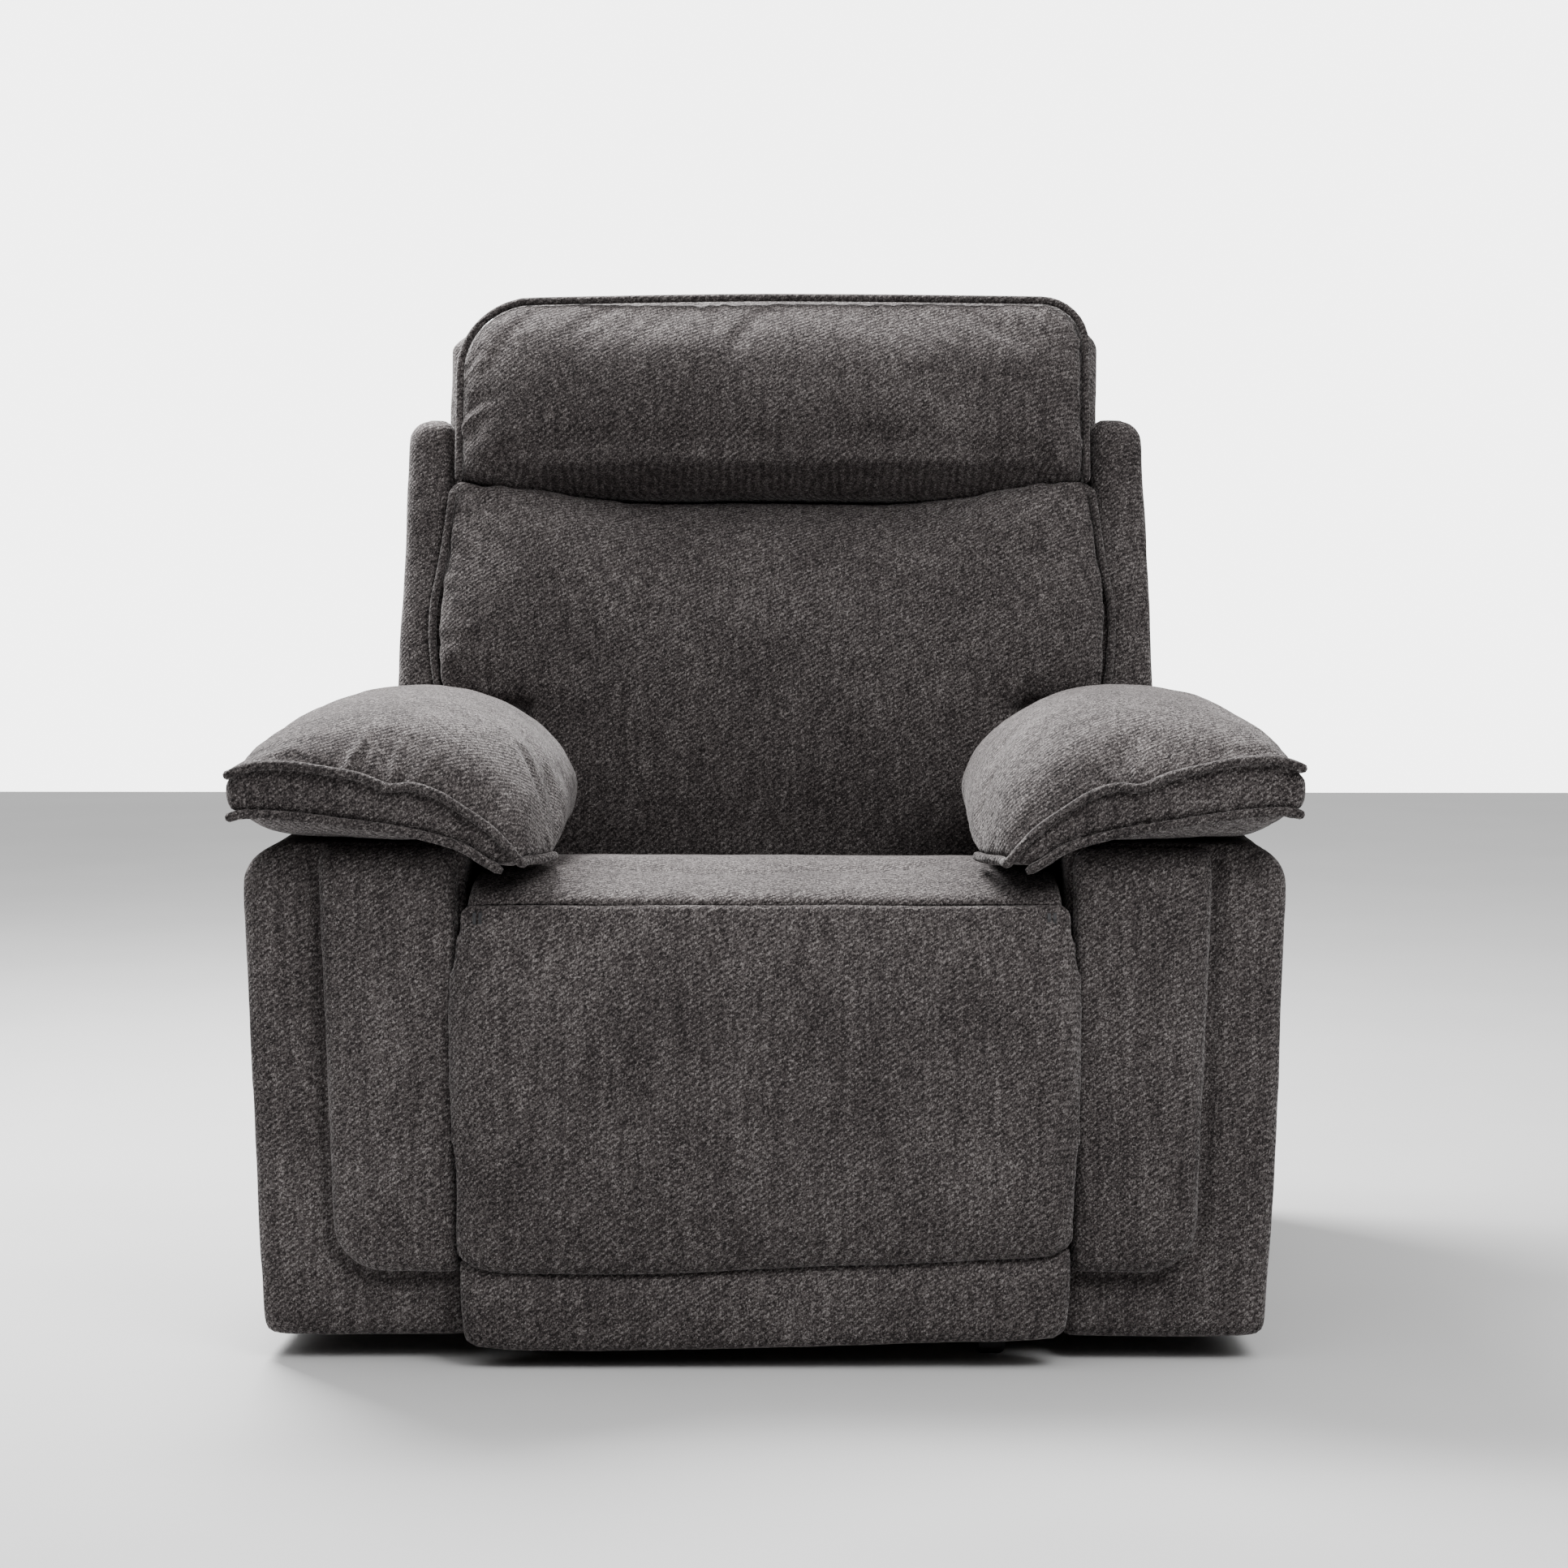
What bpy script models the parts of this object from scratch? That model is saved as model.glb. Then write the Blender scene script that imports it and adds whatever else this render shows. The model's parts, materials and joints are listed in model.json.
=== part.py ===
"""Recliner armchair: wooden frame, upholstered pads, fold-out footrest and reclining back.

Frame: metres, +Z up, the sitter faces -Y, origin on the floor under the middle of the closed chair.
"left" and "right" are as seen from the front, so "left" is the -X side.
"""

import math

import bmesh
import bpy
from mathutils import Vector

# ---------------------------------------------------------------- overall sizes
GAP = 0.0003
FRONT_Y = -0.49
FLOOR_CLEARANCE = 0.033
SIDES = (("left", -1), ("right", 1))

# arms
ARM_IN = 0.286
ARM_OUT_TOP = 0.490
ARM_OUT_BOTTOM = 0.472
ARM_BOTTOM = 0.030
ARM_TOP = 0.500
ARM_FRONT = -0.440
ARM_REAR = 0.360
ARM_WALL = 0.014
BOARD = 0.018
THIN_BOARD = 0.015
POST = 0.030

# arm front pad
PAD_IN = 0.292
PAD_OUT = 0.427
PAD_BOTTOM = 0.0935
PAD_TOP = 0.497
PAD_FRONT = -0.455

# arm top pillow
PILLOW_OUT = 0.504
PILLOW_IN = 0.181
PILLOW_CROWN = 0.646
PILLOW_REAR = 0.085

# seat
SEAT_HALF = 0.283
SEAT_BOTTOM = 0.410
SEAT_TOP = 0.475
SEAT_REAR = 0.045
NOSE_FRONT = -0.478
NOSE_BOTTOM = 0.442
RAIL_TOP = 0.4048
RAIL_BOTTOM = 0.345
SPRING_WIRE = 0.0018

# footrest hinge, lift mechanism
HINGE_Y = -0.470
HINGE_Z = 0.432
LIFT_Y = -0.100
LIFT_Z = 0.310
CRANK_Y = 0.055
CRANK_Z = -0.147
TUBE_RADIUS = 0.008
STUD_RADIUS = 0.004
PLATE = 0.004
MECH_IN = 0.2795
CRANK_IN = 0.267
LINK_IN = 0.2615
LEAF_IN = 0.2725
STRAP = 0.003

# footrest panel
FOOT_HALF = 0.297
FOOT_REAR_HALF = 0.279
FOOT_BACK_Y = -0.447
FOOT_TOP = 0.4225
FLAP_Z = 0.100
KICK_BOTTOM = 0.033
FOOT_BOARD_HALF = 0.258
FOOT_BOARD = 0.012

# recline handle
HANDLE_IN = 0.4912
HANDLE_OUT = 0.5035
HANDLE_LENGTH = 0.150

# back, in its own tilted frame: x across, v rearwards, w up along the back
BACK_Y = 0.200
BACK_Z = 0.340
BACK_TILT = math.radians(13.5)
WING_HALF = 0.4225
CUSHION_HALF = 0.361
NARROW_HALF = 0.275
NARROW_TOP = 0.235
PANEL_NARROW_TOP = 0.222
ARM_CLEARANCE = 0.240
CUSHION_FRONT = -0.165
CUSHION_BACK = -0.0155
PLEAT_W = 0.468
HEAD_FRONT = -0.186
HEAD_TOP = 0.717
WING_FRONT = -0.139
WING_BACK = 0.100
WING_TOP = 0.552
PANEL_BACK = 0.134
PANEL_TOP = 0.690
PANEL_BOTTOM = -0.062
FRAME_TOP = 0.645
POST_IN = 0.225
POST_OUT = 0.262
POST_FRONT = -0.005
POST_BACK = 0.045

# feet
FOOT_X = 0.218
FOOT_SIZE = 0.030
FRONT_FOOT_Y = -0.395
REAR_FOOT_Y = 0.320

MATERIALS = {
    "fabric": ((0.072, 0.066, 0.064), 0.95, 0.0),
    "lining": ((0.015, 0.015, 0.016), 0.9, 0.0),
    "wood": ((0.46, 0.30, 0.16), 0.7, 0.0),
    "steel": ((0.05, 0.05, 0.055), 0.45, 1.0),
    "spring_steel": ((0.42, 0.42, 0.43), 0.35, 1.0),
    "plastic": ((0.012, 0.012, 0.013), 0.55, 0.0),
}


# ---------------------------------------------------------------- helpers
def clear_scene():
    for obj in list(bpy.data.objects):
        bpy.data.objects.remove(obj, do_unlink=True)


def make_material(node, kind):
    color, roughness, metallic = MATERIALS[kind]
    material = bpy.data.materials.new(node)
    material.use_nodes = True
    shader = material.node_tree.nodes["Principled BSDF"]
    shader.inputs["Base Color"].default_value = (*color, 1.0)
    shader.inputs["Roughness"].default_value = roughness
    shader.inputs["Metallic"].default_value = metallic
    return material


def make_empty(name, location, tilt=0.0):
    empty = bpy.data.objects.new(name, None)
    empty.location = location
    empty.rotation_euler = (tilt, 0.0, 0.0)
    bpy.context.scene.collection.objects.link(empty)
    return empty


def add_piece(name, bm, kind, parent=None, smooth=False):
    """Adds the mesh as an object whose origin is the middle of its box, in its parent's frame."""
    bmesh.ops.recalc_face_normals(bm, faces=bm.faces)
    spans = [[v.co[i] for v in bm.verts] for i in range(3)]
    middle = Vector([(min(values) + max(values)) / 2 for values in spans])
    bmesh.ops.translate(bm, vec=-middle, verts=bm.verts)
    mesh = bpy.data.meshes.new(name)
    bm.to_mesh(mesh)
    bm.free()
    if smooth:
        mesh.shade_smooth()
        mesh.set_sharp_from_angle(angle=math.radians(35))
    mesh.materials.append(make_material(name, kind))
    obj = bpy.data.objects.new(name, mesh)
    obj.location = middle
    obj.parent = parent
    bpy.context.scene.collection.objects.link(obj)
    return obj


def soften(obj, width, segments=2):
    bevel = obj.modifiers.new("soften", "BEVEL")
    bevel.width = width
    bevel.segments = segments
    bevel.limit_method = "ANGLE"
    bevel.angle_limit = math.radians(25)
    return obj


def box_mesh(low, high):
    bm = bmesh.new()
    bmesh.ops.create_cube(bm, size=1.0)
    for vert in bm.verts:
        vert.co = Vector([(a + b) / 2 + c * (b - a) for a, b, c in zip(low, high, vert.co)])
    return bm


def loft_mesh(rings):
    """A closed skin over rings of points, each with the same number, with a flat cap on both ends."""
    bm = bmesh.new()
    loops = [[bm.verts.new(point) for point in ring] for ring in rings]
    for first, second in zip(loops, loops[1:]):
        for i in range(len(first)):
            j = (i + 1) % len(first)
            bm.faces.new((first[i], first[j], second[j], second[i]))
    bm.faces.new(loops[0][::-1])
    bm.faces.new(loops[-1])
    return bm


def fillet(points, radius, segments=3):
    """The outline with each corner turned into an arc; radius is one number or one for each point."""
    radii = radius if isinstance(radius, (list, tuple)) else [radius] * len(points)
    outline = []
    for i, point in enumerate(points):
        corner = Vector(point)
        if radii[i] <= 0:
            outline.append(tuple(corner))
            continue
        before = (Vector(points[i - 1]) - corner).normalized()
        after = (Vector(points[(i + 1) % len(points)]) - corner).normalized()
        half = before.angle(after) / 2
        start = corner + before * (radii[i] / math.tan(half))
        end = corner + after * (radii[i] / math.tan(half))
        centre = corner + (before + after).normalized() * (radii[i] / math.sin(half))
        for step in range(segments + 1):
            along = start.lerp(end, step / segments) - centre
            outline.append(tuple(centre + along.normalized() * radii[i]))
    return outline


def prism_x(outline, low, high):
    """Extrudes an outline of (y, z) points along X."""
    return loft_mesh([[(x, y, z) for y, z in outline] for x in (low, high)])


def prism_y(outline, low, high):
    """Extrudes an outline of (x, z) points along Y."""
    return loft_mesh([[(x, y, z) for x, z in outline] for y in (low, high)])


def rectangle(low_a, high_a, low_b, high_b):
    return [(low_a, low_b), (high_a, low_b), (high_a, high_b), (low_a, high_b)]


def circle(centre, radius, count):
    angles = [2 * math.pi * i / count for i in range(count)]
    return [(centre[0] + radius * math.cos(a), centre[1] + radius * math.sin(a)) for a in angles]


def drill_x(obj, centre, radius, count=16):
    """Cuts a round hole along X through the object; centre is (y, z) in the object's parent's frame."""
    reach = 0.6
    bm = prism_x(circle(centre, radius, count), -reach, reach)
    bmesh.ops.recalc_face_normals(bm, faces=bm.faces)
    return cut(obj, bm, obj.name + "_bore")


def cut(obj, bm, name):
    mesh = bpy.data.meshes.new(name)
    bm.to_mesh(mesh)
    bm.free()
    cutter = bpy.data.objects.new(name, mesh)
    cutter.parent = obj.parent
    cutter.display_type = "WIRE"
    cutter.hide_render = True
    bpy.context.scene.collection.objects.link(cutter)
    boolean = obj.modifiers.new(name, "BOOLEAN")
    boolean.operation = "DIFFERENCE"
    boolean.solver = "EXACT"
    boolean.object = cutter
    return obj


def join_mesh(obj, bm, name):
    """Unites another closed shape with the object."""
    cut(obj, bm, name)
    obj.modifiers[name].operation = "UNION"
    return obj


def span(side, inner, outer):
    """The low and high x of a stretch from inner to outer on one side of the chair."""
    return sorted((side * inner, side * outer))


def side_box(name, side, x, y, z, kind, parent=None):
    low_x, high_x = span(side, *x)
    return add_piece(name, box_mesh((low_x, y[0], z[0]), (high_x, y[1], z[1])), kind, parent)


# ---------------------------------------------------------------- arms
def arm_frame(name, side):
    """The arm's five boards, which stand inside its padded casing."""
    front = ARM_FRONT + ARM_WALL + GAP
    rear = ARM_REAR - ARM_WALL - GAP
    low = ARM_BOTTOM + ARM_WALL + GAP
    high = ARM_TOP - ARM_WALL - GAP
    outer = ARM_OUT_BOTTOM - ARM_WALL - GAP
    inner_board = (ARM_IN + GAP, ARM_IN + BOARD)
    outer_board = (outer - THIN_BOARD, outer)
    between = (ARM_IN + BOARD + GAP, outer - THIN_BOARD - GAP)
    under_top = high - BOARD - GAP
    board = side_box("arm_inner_board_" + name, side, inner_board, (front, rear), (low, high), "wood")
    drill_x(board, (LIFT_Y, LIFT_Z), TUBE_RADIUS + 0.002)
    board = side_box("arm_outer_board_" + name, side, outer_board, (front, rear), (low, high), "wood")
    drill_x(board, (LIFT_Y, LIFT_Z), TUBE_RADIUS + 0.002)
    side_box("arm_top_board_" + name, side, between, (front, rear), (high - BOARD, high), "wood")
    side_box("arm_front_post_" + name, side, between, (front, front + POST), (low, under_top), "wood")
    side_box("arm_rear_post_" + name, side, between, (rear - POST, rear), (low, under_top), "wood")


def arm_casing(name, side):
    """The padded shell of the arm, open towards the seat, with rounded outer corners."""
    outline = fillet(
        [
            (side * ARM_IN, ARM_BOTTOM),
            (side * ARM_OUT_BOTTOM, ARM_BOTTOM),
            (side * ARM_OUT_TOP, ARM_TOP),
            (side * ARM_IN, ARM_TOP),
        ],
        [0.0, 0.030, 0.037, 0.0],
        4,
    )
    edge = 0.010
    middle = (side * ARM_IN, (ARM_BOTTOM + ARM_TOP) / 2)
    rings = []
    for y, inset in ((ARM_FRONT, edge), (ARM_FRONT + edge, 0.0), (ARM_REAR - edge, 0.0), (ARM_REAR, edge)):
        shrink_x = 1 - inset / (ARM_OUT_TOP - ARM_IN)
        shrink_z = 1 - 2 * inset / (ARM_TOP - ARM_BOTTOM)
        ring = [
            (middle[0] + (x - middle[0]) * shrink_x, middle[1] + (z - middle[1]) * shrink_z)
            for x, z in outline
        ]
        rings.append([(x, y, z) for x, z in ring])
    obj = add_piece("arm_casing_" + name, loft_mesh(rings), "fabric")
    low_x, high_x = span(side, ARM_IN - 0.02, ARM_OUT_BOTTOM - ARM_WALL)
    hollow = box_mesh(
        (low_x, ARM_FRONT + ARM_WALL, ARM_BOTTOM + ARM_WALL),
        (high_x, ARM_REAR - ARM_WALL, ARM_TOP - ARM_WALL),
    )
    cut(obj, hollow, obj.name + "_hollow")
    if side < 0:
        drill_x(obj, (LIFT_Y, LIFT_Z), TUBE_RADIUS + 0.002)


def arm_front_pad(name, side):
    """The proud panel on the arm's front, with a wide round at its lower outer corner."""
    outline = fillet(
        [
            (side * PAD_IN, PAD_BOTTOM),
            (side * (PAD_OUT - 0.012), PAD_BOTTOM),
            (side * PAD_OUT, PAD_TOP),
            (side * PAD_IN, PAD_TOP),
        ],
        [0.004, 0.050, 0.014, 0.010],
        4,
    )
    middle_x = side * (PAD_IN + PAD_OUT) / 2
    middle_z = (PAD_BOTTOM + PAD_TOP) / 2
    rings = []
    for y, shrink in ((ARM_FRONT - GAP, 1.0), (PAD_FRONT + 0.006, 1.0), (PAD_FRONT, 0.93)):
        ring = [(middle_x + (x - middle_x) * shrink, z) for x, z in outline]
        rings.append([(x, y, middle_z + (z - middle_z) * shrink) for x, z in ring])
    add_piece("arm_front_pad_" + name, loft_mesh(rings), "fabric")


def pillow_section(front):
    """Half sections of the arm pillow, from the outer foot round the top: (distance from the middle, z)."""
    if front:
        top = [(PILLOW_OUT, 0.545), (0.500, 0.566), (0.470, 0.570), (0.420, 0.566), (0.350, 0.553)]
        return top + [(0.300, 0.533), (0.262, 0.508), (0.244, 0.494), (0.252, 0.487), (0.282, 0.486)]
    top = [(PILLOW_OUT, 0.545), (0.500, 0.582), (0.470, 0.606), (0.420, 0.631), (0.350, PILLOW_CROWN)]
    return top + [(0.268, 0.638), (0.212, 0.604), (PILLOW_IN, 0.548), (0.205, 0.494), (0.282, 0.484)]


def arm_top_pad(name, side):
    """The fat pillow on the arm: it overhangs the arm outside and lies on the seat inside."""
    foot = [(ARM_IN - 0.002, ARM_TOP + 0.003), (0.400, ARM_TOP + 0.003), (0.494, 0.508)]
    nose = pillow_section(True) + foot
    full = pillow_section(False) + foot
    stations = ((FRONT_Y, 0.0, 0.94), (FRONT_Y + 0.012, 0.05, 1.0), (-0.44, 0.62, 1.0), (-0.36, 0.95, 1.0))
    stations += ((-0.20, 0.99, 1.0), (-0.05, 0.88, 0.98), (0.02, 0.76, 0.93), (0.06, 0.62, 0.72))
    stations += ((PILLOW_REAR, 0.50, 0.58),)
    middle = 0.375
    shift = 0.085
    rings = []
    for y, fullness, size in stations:
        ring = []
        for (x0, z0), (x1, z1) in zip(nose, full):
            x = x0 + (x1 - x0) * min(1.0, fullness * 1.3)
            z = z0 + (z1 - z0) * fullness
            scaled = middle + shift * max(0.0, 1 - size) + (x - middle) * size
            x = min(scaled, ARM_IN - 0.002) if x < ARM_IN else scaled
            z = ARM_TOP + 0.003 + (z - ARM_TOP - 0.003) * (size if z > ARM_TOP + 0.004 else 1.0)
            ring.append((side * x, y, z))
        rings.append(ring)
    add_piece("arm_top_pad_" + name, loft_mesh(rings), "fabric", smooth=True)


# ---------------------------------------------------------------- base and seat
def base():
    rail = ARM_IN - GAP
    low, high = FLOOR_CLEARANCE + GAP, 0.075
    for name, middle in (("front", FRONT_FOOT_Y), ("rear", REAR_FOOT_Y)):
        shape = box_mesh((-rail, middle - 0.020, low), (rail, middle + 0.020, high))
        soften(add_piece("base_" + name + "_rail", shape, "wood"), 0.002, 1)
        for side_name, side in SIDES:
            foot("foot_" + name + "_" + side_name, side * FOOT_X, middle)
    front = REAR_FOOT_Y + 0.0205
    panel = box_mesh((-SEAT_HALF, front, 0.036), (SEAT_HALF, front + 0.015, 0.270))
    soften(add_piece("base_rear_panel", panel, "fabric"), 0.004)


def foot(name, x, y):
    half = FOOT_SIZE / 2
    rings = []
    for z, size in ((0.0, 0.72), (0.002, 0.86), (0.006, 0.96), (0.014, 1.0), (FLOOR_CLEARANCE, 1.0)):
        reach = half * size
        outline = fillet(rectangle(x - reach, x + reach, y - reach, y + reach), 0.006 * size, 3)
        rings.append([(a, b, z) for a, b in outline])
    add_piece(name, loft_mesh(rings), "plastic", smooth=True)


def seat_frame():
    side_end = 0.0597
    front = (-0.400, -0.360)
    half = LEAF_IN - GAP
    soften(
        add_piece(
            "seat_front_rail",
            box_mesh((-half, front[0], 0.365), (half, front[1], RAIL_TOP)),
            "wood",
        ),
        0.002,
        1,
    )
    rear = box_mesh((-half, 0.060, RAIL_BOTTOM), (half, 0.095, RAIL_TOP))
    soften(add_piece("seat_rear_rail", rear, "wood"), 0.002, 1)
    for name, side in SIDES:
        rail = side_box(
            "seat_side_rail_" + name,
            side,
            (0.2450, MECH_IN - GAP),
            (front[1] + GAP, side_end),
            (RAIL_BOTTOM, RAIL_TOP),
            "wood",
        )
        soften(rail, 0.002, 1)


def seat_springs():
    """One sinuous wire run to and fro across the frame, as four springs in a row."""
    lanes = 4
    lane_pitch = 0.118
    waves = 9
    per_wave = 6
    start, end = -0.392, 0.088
    amplitude = 0.034
    points = []
    for lane in range(lanes):
        middle = (lane - (lanes - 1) / 2) * lane_pitch
        steps = waves * per_wave
        for step in range(steps + 1):
            part = step / steps
            along = part if lane % 2 == 0 else 1 - part
            x = middle + amplitude * math.sin(2 * math.pi * waves * part)
            points.append((x, start + (end - start) * along, RAIL_TOP + GAP + SPRING_WIRE))
    curve = bpy.data.curves.new("seat_springs", "CURVE")
    curve.dimensions = "3D"
    curve.bevel_depth = SPRING_WIRE
    curve.bevel_resolution = 1
    curve.use_fill_caps = True
    spline = curve.splines.new("POLY")
    spline.points.add(len(points) - 1)
    for target, point in zip(spline.points, points):
        target.co = (*point, 1.0)
    curve.materials.append(make_material("seat_springs", "spring_steel"))
    obj = bpy.data.objects.new("seat_springs", curve)
    bpy.context.scene.collection.objects.link(obj)


def seat_cushion():
    """The seat: a thick block with a thin front lip that reaches over the footrest's hinge."""
    profile = [
        (SEAT_REAR, SEAT_BOTTOM),
        (SEAT_REAR + 0.004, 0.455),
        (-0.100, 0.468),
        (-0.300, SEAT_TOP),
        (-0.440, 0.472),
        (NOSE_FRONT + 0.006, 0.463),
        (NOSE_FRONT, 0.452),
        (NOSE_FRONT + 0.006, NOSE_BOTTOM + 0.002),
        (NOSE_FRONT + 0.016, NOSE_BOTTOM),
        (-0.410, NOSE_BOTTOM),
        (-0.405, SEAT_BOTTOM),
    ]
    edge = 0.012
    rings = []
    inside = SEAT_HALF - edge
    for x, drop in ((-SEAT_HALF, 0.008), (-inside, 0.0), (inside, 0.0), (SEAT_HALF, 0.008)):
        rings.append([(x, y, z - drop if z > 0.45 else z) for y, z in profile])
    add_piece("seat_cushion", loft_mesh(rings), "fabric", smooth=True)


# ---------------------------------------------------------------- mechanism
def stud(obj, side, centre, radius, inner, outer):
    """Adds a round stud along X to a plate."""
    low, high = span(side, inner, outer)
    bm = prism_x(circle(centre, radius, 12), low, high)
    bmesh.ops.recalc_face_normals(bm, faces=bm.faces)
    return join_mesh(obj, bm, obj.name + "_stud")


def capsule(start, end, radius, segments=6):
    """The outline round a link with round ends."""
    direction = (Vector(end) - Vector(start)).normalized()
    angle = math.atan2(direction.y, direction.x)
    outline = []
    for centre, base_angle in ((end, angle - math.pi / 2), (start, angle + math.pi / 2)):
        for step in range(segments + 1):
            turn = base_angle + math.pi * step / segments
            outline.append((centre[0] + radius * math.cos(turn), centre[1] + radius * math.sin(turn)))
    return outline


def mech_plate(name, side):
    """The steel plate screwed to the arm's inside: it carries the drive tube and the back's pivot."""
    outline = fillet(
        [
            (-0.375, 0.080),
            (-0.330, 0.080),
            (-0.180, 0.255),
            (0.100, 0.255),
            (0.285, 0.080),
            (0.330, 0.080),
            (0.235, 0.362),
            (0.170, 0.362),
            (0.100, 0.342),
            (-0.335, 0.342),
            (-0.375, 0.320),
        ],
        0.010,
        2,
    )
    low, high = span(side, MECH_IN, MECH_IN + PLATE)
    plate = add_piece("mech_plate_" + name, prism_x(outline, low, high), "steel")
    drill_x(plate, (LIFT_Y, LIFT_Z), TUBE_RADIUS + 0.0012)
    drill_x(plate, (BACK_Y, BACK_Z), 0.0065)
    plate.modifiers[-1].name = "pivot_bore"


def hinge_leaf(name, side):
    """The fixed half of the footrest hinge, bolted on the end of the seat's front rail."""
    outline = [
        (-0.362, 0.368),
        (-0.362, 0.4035),
        (-0.4078, 0.4075),
        (-0.4130, 0.4395),
        (HINGE_Y, HINGE_Z + 0.0080),
        (HINGE_Y - 0.0055, HINGE_Z + 0.0055),
        (HINGE_Y - 0.0078, HINGE_Z),
        (HINGE_Y - 0.0055, HINGE_Z - 0.0055),
        (HINGE_Y, HINGE_Z - 0.0080),
        (-0.440, HINGE_Z - 0.0080),
        (-0.398, 0.368),
    ]
    low, high = span(side, LEAF_IN, LEAF_IN + STRAP)
    leaf = add_piece("hinge_leaf_" + name, prism_x(outline, low, high), "steel")
    stud(leaf, side, (HINGE_Y, HINGE_Z), STUD_RADIUS, CRANK_IN - 0.0012, LEAF_IN + 0.001)


def footrest_bracket(name, side, parent):
    """The moving half of the hinge, beside the board: an eye on the axis and a lug for the push link."""
    y, z = 0.0, 0.0
    link_y, link_z = CRANK_Y, CRANK_Z
    rear = FOOT_BACK_Y + 0.0008 - HINGE_Y
    eye = 0.0078
    outline = [
        (y, z + eye),
        (y - 0.7 * eye, z + 0.7 * eye),
        (y - eye, z),
        (y - 0.7 * eye, z - 0.7 * eye),
        (y, z - eye),
        (rear, z - eye),
        (rear, link_z - 0.060),
        (rear + 0.012, link_z - 0.060),
        (link_y + 0.004, link_z - 0.010),
        (link_y + 0.011, link_z),
        (link_y + 0.004, link_z + 0.010),
        (rear + 0.012, link_z + 0.040),
        (rear + 0.012, z - eye - 0.012),
        (rear + 0.006, z + eye),
    ]
    low, high = span(side, CRANK_IN, CRANK_IN + STRAP)
    plate = add_piece("footrest_bracket_" + name, prism_x(outline, low, high), "steel", parent)
    drill_x(plate, (0.0, 0.0), STUD_RADIUS + 0.0004, 12)
    stud(plate, side, (link_y, link_z), STUD_RADIUS, LINK_IN - 0.0015, CRANK_IN + 0.001)


def lift_crank(name, side, parent):
    outline = capsule((0.0, 0.0), (CRANK_Y, CRANK_Z), 0.014)
    low, high = span(side, CRANK_IN, CRANK_IN + PLATE)
    crank = add_piece("lift_crank_" + name, prism_x(outline, low, high), "steel", parent)
    drill_x(crank, (0.0, 0.0), TUBE_RADIUS + GAP)
    stud(crank, side, (CRANK_Y, CRANK_Z), STUD_RADIUS, LINK_IN - 0.0015, CRANK_IN + 0.001)


def push_link(name, side, parent):
    end = (HINGE_Y - LIFT_Y, HINGE_Z - LIFT_Z)
    outline = capsule((0.0, 0.0), end, 0.010)
    low, high = span(side, LINK_IN, LINK_IN + PLATE)
    link = add_piece("push_link_" + name, prism_x(outline, low, high), "steel", parent)
    drill_x(link, (0.0, 0.0), STUD_RADIUS + 0.0004, 12)
    link.modifiers[-1].name = "crank_bore"
    drill_x(link, end, STUD_RADIUS + 0.0004, 12)


def drive(parent):
    """The drive tube with the hand lever on its outer end; both turn with the cranks."""
    tube = prism_x(circle((0.0, 0.0), TUBE_RADIUS, 16), -(HANDLE_IN + 0.009), ARM_IN - 0.0005)
    add_piece("torque_tube", tube, "steel", parent, smooth=True)
    boss = 0.021
    tip = -HANDLE_LENGTH
    outline = fillet(
        [
            (boss, -boss),
            (boss, boss),
            (-boss, boss),
            (-0.060, 0.013),
            (tip, 0.017),
            (tip, -0.017),
            (-0.060, -0.013),
            (-boss, -boss),
        ],
        [boss * 0.98, boss * 0.98, 0.02, 0.04, 0.012, 0.012, 0.04, 0.02],
        4,
    )
    low, high = span(-1, HANDLE_IN, HANDLE_OUT)
    handle = soften(add_piece("recline_handle", prism_x(outline, low, high), "plastic", parent), 0.003)
    socket = prism_x(circle((0.0, 0.0), TUBE_RADIUS + GAP, 16), -(HANDLE_IN + 0.0095), -0.40)
    bmesh.ops.recalc_face_normals(socket, faces=socket.faces)
    cut(handle, socket, "handle_socket")


def handle_escutcheon():
    """The plastic ring round the drive tube where it leaves the arm."""
    face = ARM_OUT_BOTTOM + (LIFT_Z - ARM_BOTTOM) * (ARM_OUT_TOP - ARM_OUT_BOTTOM) / (ARM_TOP - ARM_BOTTOM)
    lean = (ARM_OUT_TOP - ARM_OUT_BOTTOM) / (ARM_TOP - ARM_BOTTOM)
    radius = 0.028
    rings = []
    for out, size in ((0.0006, 1.0), (0.0030, 1.0), (0.0044, 0.88)):
        ring = []
        for y, z in circle((LIFT_Y, LIFT_Z), radius * size, 24):
            ring.append((-(face + out + (z - LIFT_Z) * lean), y, z))
        rings.append(ring)
    obj = add_piece("handle_escutcheon", loft_mesh(rings), "plastic")
    drill_x(obj, (LIFT_Y, LIFT_Z), TUBE_RADIUS + 0.0012)


# ---------------------------------------------------------------- footrest
def panel_rings(z_low, z_high, stations, corner):
    """Rounded rectangles in planes of constant y; each station is y, half width and inset in z."""
    rings = []
    for y, half, inset in stations:
        outline = fillet(rectangle(-half, half, z_low + inset, z_high - inset), corner, 3)
        rings.append([(x, y - HINGE_Y, z - HINGE_Z) for x, z in outline])
    return rings


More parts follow.
